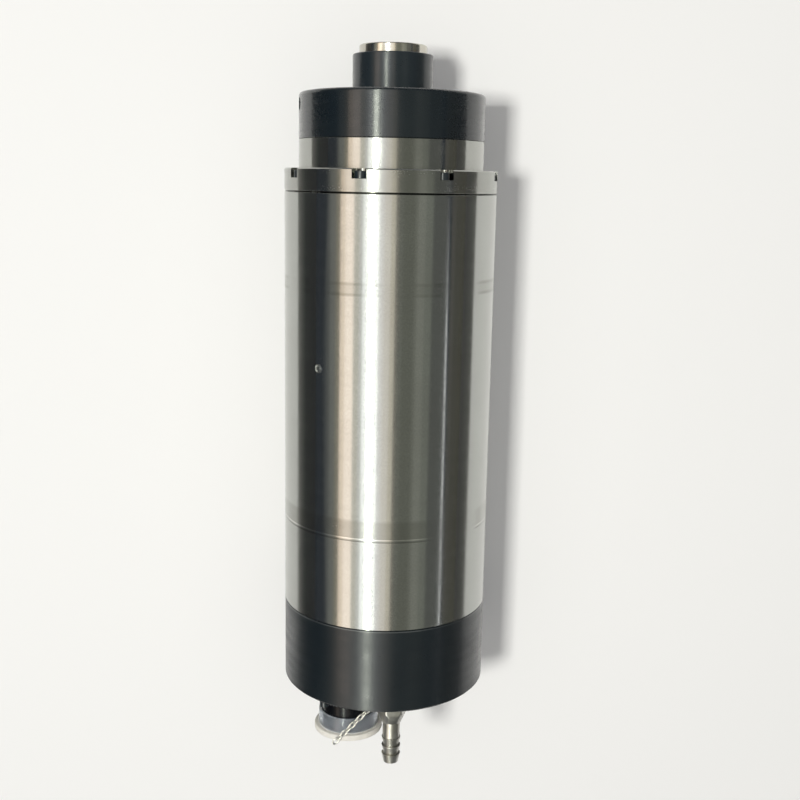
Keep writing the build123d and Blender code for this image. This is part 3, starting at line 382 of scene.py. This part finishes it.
ALONG = (1, 30, 1)  # stretch that turns blobs into streaks along the spindle
print("streak stretch:", ALONG)


# %% [markdown]
# ## Turned metal
# The tube, the flange and the black rings are turned on a lathe, and the tube is ground and polished
# after that. The tool leaves fine grooves round the axis, so a highlight is drawn out along the spindle
# and stays narrow across it: that is what the anisotropic shader does, with its tangent running round
# the Y axis. On a ground tube the lines are a few hundredths of a millimetre apart. They are drawn at a
# third of a millimetre here, or they would vanish. Faint smears of oil and streaks from wiping change
# the roughness, and old clamps have left dull rings on the tube.

# %% Uneven roughness and ring marks
WORN_MM = 30.0


def uneven(tree, roughness, swings):
    """A roughness that each pair of noise and amount swings by half the amount either way."""
    for source, amount in swings:
        swing = {"Value": source, **NOISE_WIDE, "To Min": -amount / 2, "To Max": amount / 2}
        swing = add(tree, "ShaderNodeMapRange", swing, clamp=True)
        roughness = add(tree, "ShaderNodeMath", {0: roughness, 1: swing}, operation="ADD")
    return roughness


def marked(tree, marks, shade, rough):
    """Colour and roughness with these ring marks, painted shade and painted highlight lines among them,
    each worn off round the spindle down to its kept share.
    """
    for low, high, soft, tint, strength, duller, kept in marks:
        mark = ring_mark(tree, low, high, soft)
        worn = blobs(tree, WORN_MM, 2.0, (1, 8, 1))
        worn = {"Value": worn, "From Min": 0.42, "From Max": 0.56, "To Min": kept, "To Max": 1.0}
        worn = add(tree, "ShaderNodeMapRange", worn, clamp=True)
        mark = add(tree, "ShaderNodeMath", {0: mark, 1: worn}, operation="MULTIPLY")
        amount = add(tree, "ShaderNodeMath", {0: mark, 1: strength}, operation="MULTIPLY")
        mix = {"Factor": amount, MIX_FIRST: shade, MIX_SECOND: tint}
        shade = add(tree, "ShaderNodeMix", mix, data_type="RGBA")
        more = add(tree, "ShaderNodeMath", {0: mark, 1: duller}, operation="MULTIPLY")
        rough = add(tree, "ShaderNodeMath", {0: rough, 1: more}, operation="ADD")
    return shade, rough


print("worn patches in mm:", WORN_MM)

# %% [markdown]
# ### The turned finish itself
# Four noises of different sizes make the roughness uneven: bands round the axis, smears, streaks along
# it and specks. Smears and specks also shade the colour. The lathe's lines are the bump. A black skin
# adds pores to it and a coat over everything, since its gloss is sharper than the surface under it.

# %% Turned finish
FEED_MM, BANDS_MM, SMEARS_MM, STREAKS_MM, SPECKS_MM = 0.35, 5.0, 22.0, 0.9, 0.8
BAND_SHARE, SPECK_SHARE = 0.35, 0.3  # of the roughness
PORE_DEPTH, STREAK_DEPTH = 12 * UM, 5 * UM


def turned(
    name,
    colour,
    smeared,
    roughness,
    metal,
    marks=(),
    groove_um=1.5,
    smear=0.02,
    pores_mm=0.0,
    skin=(0.0, 0.1),
):
    """Lathe turned surface with ring marks: skin is the weight and the roughness of its coat."""
    material, tree, output = new_material(name)
    lines = lathe_lines(tree, FEED_MM)
    bands = blobs(tree, BANDS_MM, 2.0, (8, 1, 8))
    smears = blobs(tree, SMEARS_MM, 3.0, (1, 1.6, 1))
    streaks = blobs(tree, STREAKS_MM, 3.0, ALONG)
    specks = blobs(tree, SPECKS_MM, 3.0)
    swings = [
        (bands, roughness * BAND_SHARE),
        (smears, smear * 2),
        (streaks, smear),
        (specks, roughness * SPECK_SHARE),
    ]
    spots = {"Value": smears, "From Min": 0.3, "From Max": 0.75}
    spots = add(tree, "ShaderNodeMapRange", spots, clamp=True)
    mix = {"Factor": spots, MIX_FIRST: colour, MIX_SECOND: smeared}
    shade = add(tree, "ShaderNodeMix", mix, data_type="RGBA")
    fleck = {"Value": specks, **NOISE_NARROW, "To Min": 0.94, "To Max": 1.04}
    fleck = add(tree, "ShaderNodeMapRange", fleck, clamp=True)
    shade = add(tree, "ShaderNodeVectorMath", {0: shade, 3: fleck}, operation="SCALE")
    shade, rough = marked(tree, marks, shade, uneven(tree, roughness, swings))
    height = {"Height": lines, "Strength": 1.0, "Distance": groove_um * UM}
    normal = add(tree, "ShaderNodeBump", height)
    if pores_mm:
        for source, depth in ((blobs(tree, pores_mm, 2.0), PORE_DEPTH), (streaks, STREAK_DEPTH)):
            height = {"Height": source, "Strength": 1.0, "Distance": depth, "Normal": normal}
            normal = add(tree, "ShaderNodeBump", height)
    surface = {
        "Base Color": shade,
        "Metallic": metal,
        "Roughness": rough,
        "Anisotropic": 0.9,
        "Anisotropic Rotation": 0.25,
        "Coat Weight": skin[0],
        "Coat Roughness": skin[1],
        "Normal": normal,
        "Tangent": add(tree, "ShaderNodeTangent", direction_type="RADIAL", axis="Y"),
    }
    surface = add(tree, "ShaderNodeBsdfPrincipled", surface)
    tree.links.new(surface.outputs[0], output.inputs["Surface"])
    return material


print("lathe lines in mm:", FEED_MM)

# %% [markdown]
# ### Stainless steel
# This stainless reflects a little less than half of the light and keeps it nearly neutral. The tube
# carries two dull rings where clamps sat. One has darker lines at both edges, the other a bright and a
# dark line behind its rear edge. The flange is left as turned, so it is a little duller than the ground
# tube, and a fine dark line of painted shade sits in the joints at both ends of the tube.

# %% Tube and flange
# Each mark: from, to and softness along Y in mm, colour, strength, added roughness, share always kept.
TUBE_MARKS = [
    (66.8, 73.0, 1.2, "#8f9088", 0.28, 0.03, 0.1),
    (66.6, 67.2, 0.9, "#77786f", 0.42, 0.0, 0.0),
    (72.2, 72.8, 0.9, "#77786f", 0.36, 0.0, 0.0),
    (-66.0, -57.5, 2.0, "#8b8b84", 0.50, 0.04, 0.1),
    (-66.9, -66.5, 0.25, "#ecebe6", 0.60, 0.0, 0.0),
    (-68.2, -67.8, 0.3, "#4c4d46", 0.60, 0.02, 0.0),
]
# Painted shade: a dark line laid into the groove of the joint at each end of the tube.
JOINT_PAINTED_SHADE = (119.2, 119.8, 0.12, "#23241f", 0.9, 0.1, 1.0)
REAR_JOINT_PAINTED_SHADE = (-119.6, -119.15, 0.12, "#1d1e1b", 0.9, 0.1, 1.0)
FLANGE_MARK = (121.0, 131.0, 0.6, "#a3a49f", 0.6, 0.05, 0.7)
finishes = {}
finishes["turned_stainless"] = turned(
    "turned_stainless", "#b2b4b0", "#adaeaa", 0.18, 1.0, [*TUBE_MARKS, JOINT_PAINTED_SHADE, REAR_JOINT_PAINTED_SHADE], smear=0.015
)
finishes["turned_flange"] = turned(
    "turned_flange", "#b0b1ac", "#a6a7a2", 0.19, 1.0, [JOINT_PAINTED_SHADE, FLANGE_MARK], groove_um=2.0, smear=0.03
)
print("stainless finishes:", ", ".join(finishes))

# %% [markdown]
# ### Black rings and sleeve
# The front cap and the rear cover are aluminium with a black anodised skin, a hard clear oxide dyed
# black. It behaves like dark plastic with a gloss, so it isn't metallic here. The cap has a finer polish
# than the cover. The collet nut and the screws are steel with black oxide, a thin blued skin that holds
# a film of oil.

# %% Black finishes
# The cover's edge next to the tube carries a painted highlight: a lighter line for the glint of its
# chamfer.
COVER_EDGE_HIGHLIGHT = (-120.5, -120.0, 0.15, "#6a6d6c", 0.5, 0.0, 0.3)  # painted highlight of the chamfer next to the tube
# colour, smeared colour, roughness, metallic, marks, groove in micrometres, smear, pores in mm, skin
BLACK_FINISHES = {
    "black_anodised": ("#10181d", "#141c20", 0.29, 0.0, (), 1.0, 0.03, 0.5, (0.45, 0.11)),
    "black_anodised_satin": ("#0f171c", "#141c20", 0.40, 0.0, [COVER_EDGE_HIGHLIGHT], 1.0, 0.05, 0.5, (0.3, 0.24)),
    "black_oxide": ("#1b2328", "#20282c", 0.36, 0.0, (), 0.8, 0.02, 0.4, (0.4, 0.18)),
}
for name, numbers in BLACK_FINISHES.items():
    finishes[name] = turned(name, *numbers)
print("finishes so far:", len(finishes))


# %% [markdown]
# ## Plainer finishes
# The other parts need metal that mirrors alike in all directions, plastic or rubber. Each has a grain of
# a real size, a roughness that varies with it and a second colour where it is worn, stained or dusty.

# %% Metals, plastics and rubber
PATCH_TIMES = 9  # stained patches are this much larger than the grain


def grained(name, colour, worn, roughness, metal, grain_mm, depth_um, lines_mm=0.0, shine=0.5):
    """Metal or plastic: a grain drives bump and roughness, and larger patches drive the colour."""
    material, tree, output = new_material(name)
    grain = lathe_lines(tree, lines_mm) if lines_mm else blobs(tree, grain_mm, 3.0)
    patches = blobs(tree, grain_mm * PATCH_TIMES, 2.0)
    stains = add(tree, "ShaderNodeMapRange", {"Value": patches, **NOISE_NARROW}, clamp=True)
    mix = {"Factor": stains, MIX_FIRST: colour, MIX_SECOND: worn}
    swing = {"Value": grain, **NOISE_NARROW, "To Min": roughness * 0.8, "To Max": roughness * 1.25}
    bump = {"Height": grain, "Strength": 1.0, "Distance": depth_um * UM}
    surface = {
        "Base Color": add(tree, "ShaderNodeMix", mix, data_type="RGBA"),
        "Metallic": metal,
        "Specular IOR Level": shine,
        "Roughness": add(tree, "ShaderNodeMapRange", swing, clamp=True),
        "Normal": add(tree, "ShaderNodeBump", bump),
    }
    surface = add(tree, "ShaderNodeBsdfPrincipled", surface)
    tree.links.new(surface.outputs[0], output.inputs["Surface"])
    return material


# colour, worn colour, roughness, metallic, grain in mm, depth in micrometres, lathe lines in mm, shine
PLAIN_FINISHES = {
    "polished_steel": ("#cfccc2", "#c4c0b4", 0.13, 1.0, 0.6, 0.6, 0.3),  # sharp bright stripes
    "ground_steel": ("#c0c0be", "#b6b6b2", 0.28, 1.0, 0.5, 0.8, 0.3),  # grey, mirrors nothing clearly
    "spring_steel": ("#a9a9a8", "#8f8f8c", 0.30, 1.0, 0.6, 1.5),  # heat treated, a shade darker
    "cage_resin": ("#a5834a", "#8c6b3a", 0.55, 0.0, 0.5, 6.0),  # cloth filled resin, woven brown
    "lamination_steel": ("#9b9c9c", "#8a8a88", 0.38, 1.0, 0.5, 3.0, 0.5),  # stacked sheets: fine lines
    "copper_winding": ("#b4683c", "#8c4a28", 0.32, 0.7, 1.0, 12.0),  # varnished wire, lumpy
    "cast_aluminium": ("#c6c8ca", "#b2b4b6", 0.42, 1.0, 0.8, 8.0),  # grainy and pale
    "milled_aluminium": ("#d2d4d6", "#c4c6c8", 0.30, 1.0, 0.6, 2.0, 0.4),  # pale with tool lines
    "balance_brass": ("#d3ab5c", "#bd964c", 0.26, 1.0, 0.5, 1.5, 0.3),  # warm yellow
    "seal_rubber": ("#1d1d1d", "#262626", 0.55, 0.0, 0.5, 6.0),  # dull black
    "nickel_plate": ("#c0bfbb", "#a6a49d", 0.36, 1.0, 0.7, 1.0, 0.3),  # plated brass, warm grey
    "copper_washer": ("#b98262", "#97684a", 0.38, 1.0, 0.6, 3.0),  # annealed, a little brown
    "connector_black": ("#07080b", "#0d0e11", 0.17, 0.0, 0.8, 0.5, 0.0, 0.22),  # lacquered, glossy
    "connector_insulator": ("#2a2a2b", "#343434", 0.42, 0.0, 0.5, 4.0),  # moulded, matt
    "contact_metal": ("#e0d6ac", "#cabf94", 0.22, 1.0, 0.4, 1.0),  # thin gold plating
    "zinc_screw": ("#c9cccc", "#b4b7b7", 0.26, 1.0, 0.4, 1.5),  # bright zinc, slightly blue
    "chain_steel": ("#f0efec", "#dddbd6", 0.25, 1.0, 0.4, 0.8),  # nickel plated wire, sparkling
    "lead_insulation": ("#66686b", "#5a5c60", 0.45, 0.0, 0.5, 4.0),  # grey silicone
}
for name, numbers in PLAIN_FINISHES.items():
    finishes[name] = grained(name, *numbers)
print("finishes:", len(finishes))

# %% [markdown]
# ### Milky polyethylene
# The dust cap is soft polyethylene, injection moulded. Its thin wall lets the dark connector shine
# through as bluish grey, and its thick rim scatters enough light to look white. A clear rough plastic is
# mixed with a white that lets some light through, and the share of white is much larger at the rim.

# %% Dust cap plastic
cap_low, cap_high = in_mm(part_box("dust_cap"))
RIM_L = 3.4
rim_top = cap_low[1] + RIM_L
FADE_L = 0.5
CLOUD_MM, DIMPLE_MM = 4.0, 0.8
RIM_WHITE, BODY_LOW, BODY_HIGH = 0.75, 0.10, 0.20  # shares of white at the rim and in the body

milky, tree, output = new_material("milky_plastic")
place = add(tree, "ShaderNodeTexCoord")
axes = add(tree, "ShaderNodeSeparateXYZ", {0: place.outputs["Object"]})
at_rim = {"Value": axes.outputs["Y"], "From Min": (rim_top + FADE_L) * MM, "From Max": rim_top * MM}
at_rim = add(tree, "ShaderNodeMapRange", at_rim, clamp=True)
cloud = {"Value": blobs(tree, CLOUD_MM, 2.0), **NOISE_WIDE}
cloud = add(tree, "ShaderNodeMapRange", {**cloud, "To Min": BODY_LOW, "To Max": BODY_HIGH}, clamp=True)
white_share = {0: at_rim, 1: RIM_WHITE, 2: cloud}
white_share = add(tree, "ShaderNodeMath", white_share, operation="MULTIPLY_ADD")
dimples = {"Height": blobs(tree, DIMPLE_MM, 2.0), "Strength": 1.0, "Distance": 3 * UM}
dimples = add(tree, "ShaderNodeBump", dimples)
clear = {"Base Color": "#eaf1f9", "Roughness": 0.18, "IOR": 1.5, "Normal": dimples}
clear = add(tree, "ShaderNodeBsdfPrincipled", {**clear, "Transmission Weight": 1.0})
tints = {"Factor": at_rim, MIX_FIRST: "#dee5ee", MIX_SECOND: "#f8f5ec"}
tint = add(tree, "ShaderNodeMix", tints, data_type="RGBA")
glow = add(tree, "ShaderNodeBsdfTranslucent", {"Color": tint, "Normal": dimples})
chalk = add(tree, "ShaderNodeBsdfDiffuse", {"Color": tint, "Normal": dimples})
haze = add(tree, "ShaderNodeMixShader", {0: 0.8, 1: glow, 2: chalk})
plastic = add(tree, "ShaderNodeMixShader", {0: white_share, 1: clear, 2: haze})
tree.links.new(plastic.outputs[0], output.inputs["Surface"])
finishes["milky_plastic"] = milky
print("cap rim ends at y =", round(rim_top, 1), "mm")

# %% [markdown]
# ## Dressing the CAD pieces
# Each CAD piece names its material slot in the record. Three pieces are dressed apart from the rest of
# their slot: the flange, which is duller than the tube, the rear cover, duller than the front cap, and
# the connector's screws, which are blackened like the screws beside them.

# %% Materials onto the CAD pieces
slot_of = {part["node"]: part["material_slot"] for part in frame["record"]["subparts"]}
finish_of = {
    **slot_of,
    "front_bearing_housing": "turned_flange",
    "rear_cover": "black_anodised_satin",
    "connector_screws": "black_oxide",
}
for node, piece in nodes.items():
    for slot in piece.material_slots:
        slot.material = finishes[finish_of[node]]
print("dressed:", len(nodes))


# %% [markdown]
# ## Surfaces on a grid
# The small parts near the eye get smoother shapes than the CAD model's triangles. All of them are grids
# of points: rows along an outline, columns round an axis. Neighbouring points make four-sided faces, and
# a signed volume tells whether the faces point outwards. A sharp edge is kept sharp by its angle.

# %% Grid to mesh
def grid_piece(name, grids, body, node, finish, sharp_degrees=40.0):
    """One piece from grids of points, each closed both ways: cell (i, j) reaches to (i+1, j+1)."""
    corners, faces, places = [], [], []
    for points in grids:
        rows, columns = points.shape[:2]
        i, j = np.meshgrid(np.arange(rows), np.arange(columns), indexing="ij")
        around = [(i, j), (i, j + 1), (i + 1, j + 1), (i + 1, j)]
        quads = np.stack([a % rows * columns + b % columns for a, b in around], axis=-1).reshape(-1, 4)
        spots = np.stack([np.stack([b / columns, a / rows], axis=-1) for a, b in around], axis=2)
        flat = points.reshape(-1, 3)
        first, second, third, fourth = (flat[quads[:, k]] for k in range(4))
        volume = np.sum(first * np.cross(second, third)) + np.sum(first * np.cross(third, fourth))
        order = [0, 1, 2, 3] if volume > 0 else [3, 2, 1, 0]
        faces.append(quads[:, order] + sum(map(len, corners)))
        places.append(spots.reshape(-1, 4, 2)[:, order])
        corners.append(flat)
    mesh = bpy.data.meshes.new(name)
    mesh.from_pydata(np.concatenate(corners), [], np.concatenate(faces))
    layer = mesh.uv_layers.new(name="own_map")
    layer.uv.foreach_set("vector", np.concatenate(places).ravel())
    mesh.polygons.foreach_set("use_smooth", np.ones(len(mesh.polygons), dtype=bool))
    mesh.set_sharp_from_angle(angle=math.radians(sharp_degrees))
    mesh.materials.append(finishes[finish])
    piece = bpy.data.objects.new(name, mesh)
    bpy.context.scene.collection.objects.link(piece)
    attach(piece, body)
    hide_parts(node)
    print(name, "faces:", len(mesh.polygons))


print("finishes ready for the pieces:", len(finishes))

# %% [markdown]
# ## Outlines with soft corners
# A turned part is one outline carried round its axis. Machined corners are never quite sharp: they are
# broken with a file or a small chamfer, and that narrow round is what catches the light. So each corner
# of the outline is replaced with a short quadratic curve, from a point on one side to one on the other.

# %% Outline and revolve
HOLD = 0.03  # millimetres: a point this far outside each curve keeps the flat beside it flat
CURVE_POINTS = 6
LONGEST_REACH = 0.42  # share of the shorter side that a curve may use up


def soften(corners):
    """Closed outline with soft corners, from rows of r, y and how far each corner's curve reaches."""
    corners, reach = np.split(np.array(corners, dtype=float), [2], axis=1)
    t = np.linspace(0.0, 1.0, CURVE_POINTS)[None, :, None]
    to_last = np.roll(corners, 1, axis=0) - corners
    to_next = np.roll(corners, -1, axis=0) - corners
    last_l = np.linalg.norm(to_last, axis=1, keepdims=True)
    next_l = np.linalg.norm(to_next, axis=1, keepdims=True)
    reach = np.minimum(reach, LONGEST_REACH * np.minimum(last_l, next_l))
    start, stop = corners + to_last / last_l * reach, corners + to_next / next_l * reach
    curves = (1 - t) ** 2 * start[:, None] + 2 * t * (1 - t) * corners[:, None] + t**2 * stop[:, None]
    hold = np.minimum(HOLD, 0.2 * reach)
    before, after = start + to_last / last_l * hold, stop + to_next / next_l * hold
    return np.concatenate([before[:, None], curves, after[:, None]], axis=1).reshape(-1, 2)


def revolve(outline, x=0.0, z=0.0, columns=144, limit=None):
    """Points (x + r sin a, y, z + r cos a) in metres, for outline rows (r, y) in mm and all angles a."""
    angle = np.linspace(0.0, 2 * np.pi, columns, endpoint=False)[None, :]
    radius, height = outline[:, :1] * MM, outline[:, 1:] * MM
    if limit is not None:
        radius = np.minimum(radius, limit(angle))
    ring = [x + radius * np.sin(angle), height + 0 * angle, z + radius * np.cos(angle)]
    return np.stack(np.broadcast_arrays(*ring), axis=-1)


soft_square = soften([(0, 0, 0.2), (1, 0, 0.2), (1, 1, 0.2), (0, 1, 0.2)])
print("outline of a soft square has", len(soft_square), "points")

# %% [markdown]
# ## Collet nut and its ring
# The nut is a plain sleeve, threaded inside, and the bright ring in its mouth turns on small balls while
# it presses the collet. The balls run half in a groove of the nut and half in a groove of the ring. The
# outer sizes are read from the boxes of the CAD nodes. Each row of an outline is a radius, a height
# along the axis and how far the soft corner reaches.

# %% Nut and ring
nut_low, nut_high = in_mm(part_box("collet_nut"))
ring_low, ring_high = in_mm(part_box("nut_ring"))
balls_low, balls_high = in_mm(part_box("nut_balls"))
THREAD_BORE_R = 16.05
SEAT_PLAY = 0.05
SEAT_STEP = 0.1
GROOVE_PLAY = 0.02
seat_r = ring_high[0] + SEAT_PLAY
seat_rear = ring_low[1] - SEAT_STEP
ball_r = (balls_high[1] - balls_low[1]) / 2
groove_half = ball_r + GROOVE_PLAY
groove_middle_r = max(balls_high[0], balls_high[2]) - ball_r
groove_middle = (balls_high[1] + balls_low[1]) / 2
groove_front, groove_rear = groove_middle + groove_half, groove_middle - groove_half
nut_outline = [
    (THREAD_BORE_R, nut_low[1], 0.3),
    (nut_high[0], nut_low[1], 0.9),
    (nut_high[0], nut_high[1], 0.9),
    (seat_r, nut_high[1], 0.3),
    (seat_r, groove_front, 0.05),
    (groove_middle_r + groove_half, groove_front, 0.6),
    (groove_middle_r + groove_half, groove_rear, 0.6),
    (seat_r, groove_rear, 0.05),
    (seat_r, seat_rear, 0.1),
    (THREAD_BORE_R, seat_rear, 0.3),
]
nut_points = revolve(soften(nut_outline))
grid_piece("nut_sleeve", [nut_points], "nut", "collet_nut", "black_oxide")

CONE_MOUTH_R = 10.0
CONE_WIDE_R = 12.96
CONE_L = 6.05
LIP_R = 11.8  # the lip that sits in the collet's groove
LIP_FRONT_L = 6.7
LIP_REAR_L = 7.8
SKIRT_R = 13.2
SKIRT_L = 8.0
ring_front = ring_high[1]
ring_outline = [
    (SKIRT_R, ring_low[1], 0.2),
    (ring_high[0], ring_low[1], 0.2),
    (ring_high[0], groove_rear, 0.05),
    (groove_middle_r - groove_half, groove_rear, 0.6),
    (groove_middle_r - groove_half, groove_front, 0.6),
    (ring_high[0], groove_front, 0.05),
    (ring_high[0], ring_front, 0.9),
    (CONE_MOUTH_R, ring_front, 0.3),
    (CONE_WIDE_R, ring_front - CONE_L, 0.1),
    (LIP_R, ring_front - LIP_FRONT_L, 0.1),
    (LIP_R, ring_front - LIP_REAR_L, 0.1),
    (SKIRT_R, ring_front - SKIRT_L, 0.1),
]
ring_points = revolve(soften(ring_outline))
grid_piece("nut_front_ring", [ring_points], "collet_set", "nut_ring", "polished_steel")

# %% [markdown]
# ## Hose fittings
# Cooling water enters and leaves through two barbed fittings of nickel plated brass. Each is turned from
# hexagon bar: the radius is the outline's, but nowhere more than the bar's flat sides allow. A hexagon
# of half width h has radius h / cos(a) at an angle a from the middle of a flat, repeated every 60
# degrees. The barbs are saw teeth whose sharp side faces the hexagon.

# %% Two hose fittings
HEX_HALF = 8.0
HEX_TURN = math.radians(9.0)
HEX_L = 10.9
HEX_CORNER_R = 9.0
WASHER_L = 1.0
CHAMFER_L = 0.8
CHAMFER_R = 7.7
TAPER_L = 7.0
TAPER_R = 5.65
SHANK_R = 6.56
NECK_R = 4.95
NECK_L = 9.5
RIDGE_R = 5.45
ROOT_R = 4.35
RIDGE_STEP = 5.1
RIDGE_GAP = 0.15
RIDGES = 3
TIP_R = 4.25
WATER_R = 3.0
cover_rear = in_mm(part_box("rear_cover"))[0][1]
hex_front = cover_rear - WASHER_L
hex_end = cover_rear - HEX_L
neck_end = hex_end - NECK_L


def hexagon_limit(angle):
    """Radius of the hexagon bar at each angle, in metres."""
    from_flat = (angle - HEX_TURN + math.pi / 6) % (math.pi / 3) - math.pi / 6
    return HEX_HALF * MM / np.cos(from_flat)


teeth = []
for tooth in range(RIDGES):
    tooth_start = neck_end - tooth * RIDGE_STEP
    teeth.append((RIDGE_R, tooth_start - RIDGE_GAP, 0.25))
    teeth.append((ROOT_R, tooth_start - RIDGE_STEP + RIDGE_GAP, 0.12))
for node in ("water_inlet_fitting", "water_outlet_fitting"):
    low, high = in_mm(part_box(node))
    fitting_outline = [
        (WATER_R, high[1], 0.2),
        (SHANK_R, high[1], 0.4),
        (SHANK_R, hex_front, 0.1),
        (CHAMFER_R, hex_front, 0.1),
        (HEX_CORNER_R, hex_front - CHAMFER_L, 0.1),
        (HEX_CORNER_R, hex_end + TAPER_L, 1.2),
        (TAPER_R, hex_end, 0.4),
        (NECK_R, hex_end, 0.3),
        (NECK_R, neck_end, 0.2),
        *teeth,
        (TIP_R, low[1], 0.5),
        (WATER_R, low[1], 0.3),
    ]
    middle = (low + high) / 2 * MM
    points = revolve(soften(fitting_outline), middle[0], middle[2], limit=hexagon_limit)
    grid_piece(node + "_turned", [points], "housing", node, "nickel_plate", 35.0)

# %% [markdown]
# ## Dust cap
# The cap is a thin cup pushed over the connector, with a thicker rim at its closed end to pull it by. It
# is one closed outline round the connector's axis: outer wall, rim, end, and the inside back to the lip.
# The end wall is drawn with a pinhole at its centre, far too small to see, so that the outline needs no
# point on the axis.

# %% Dust cap
CAP_WALL_R = 17.5
CAP_BORE_R = 16.3
CAP_END_L = 1.5
CAP_COLUMNS = 160
PINHOLE_R = 0.02
rim_r = (cap_high[0] - cap_low[0]) / 2
cap_end, cap_lip = cap_low[1], cap_high[1]
cap_outline = [
    (CAP_BORE_R, cap_lip, 0.35),
    (CAP_WALL_R, cap_lip, 0.5),
    (CAP_WALL_R, rim_top, 0.6),
    (rim_r, rim_top, 0.9),
    (rim_r, cap_end, 0.9),
    (PINHOLE_R, cap_end, 0.001),
    (PINHOLE_R, cap_end + CAP_END_L, 0.001),
    (CAP_BORE_R, cap_end + CAP_END_L, 1.2),
]
cap_middle = (cap_low + cap_high) / 2 * MM
cap_points = revolve(soften(cap_outline), cap_middle[0], cap_middle[2], CAP_COLUMNS)
grid_piece("dust_cap_cup", [cap_points], "dust_cap", "dust_cap", "milky_plastic")

# %% [markdown]
# ## Chain
# The cap's chain is short and has bent wire links. A link's path is a circle whose two halves are pulled
# apart: x = R cos a + s, y = R sin a, where s runs from -straight to +straight as a crosses the sides. A
# round wire is carried along that path. Each link is turned a quarter turn from the one before, and the
# whole chain swings on the hinge that the record gives.

# %% Chain links
hinge = next(joint for joint in frame["record"]["behaviour"]["joints"] if joint["name"] == "chain_lift")
CHAIN_RUN = np.array([-17.3, -16.4, 4.6])  # direction of the chain at rest
LINKS = 8
LINK_STEP = 3.2 * MM
BEND_R = 1.25 * MM
WIRE_R = 0.5 * MM
STRAIGHT = 0.9 * MM
PULL = 5.0  # how fast the halves are pulled apart as the angle crosses the sides
PATH_POINTS = 48
WIRE_POINTS = 16
run = CHAIN_RUN / np.linalg.norm(CHAIN_RUN)
side = np.array(hinge["axis"])
lift_way = np.cross(side, run)


def wire_link(middle, across):
    """Round wire along the pulled-apart circle that lies in the plane of run and across."""
    angle = np.linspace(0.0, 2 * np.pi, PATH_POINTS, endpoint=False)
    shift = STRAIGHT * np.clip(PULL * np.cos(angle), -1.0, 1.0)
    path = np.outer(BEND_R * np.cos(angle) + shift, run) + np.outer(BEND_R * np.sin(angle), across)
    along = np.roll(path, -1, axis=0) - np.roll(path, 1, axis=0)
    along /= np.linalg.norm(along, axis=1, keepdims=True)
    upward = np.cross(run, across)
    outward = np.cross(along, upward)
    section = np.linspace(0.0, 2 * np.pi, WIRE_POINTS, endpoint=False)[None, :, None]
    wire = outward[:, None] * np.cos(section) + upward * np.sin(section)
    return middle + path[:, None] + WIRE_R * wire


first = np.array(hinge["pos_m"]) - run * (STRAIGHT + BEND_R)
links = []
for number in range(1, LINKS + 1):
    across = side if number % 2 == 0 else lift_way
    links.append(wire_link(first + run * number * LINK_STEP, across))
grid_piece("cap_chain_links", links, "chain", "cap_chain", "chain_steel")

# %% [markdown]
# ## Last update
# The view layer is updated once more, so that every piece stands in its final place.

# %% Last update
bpy.context.view_layer.update()
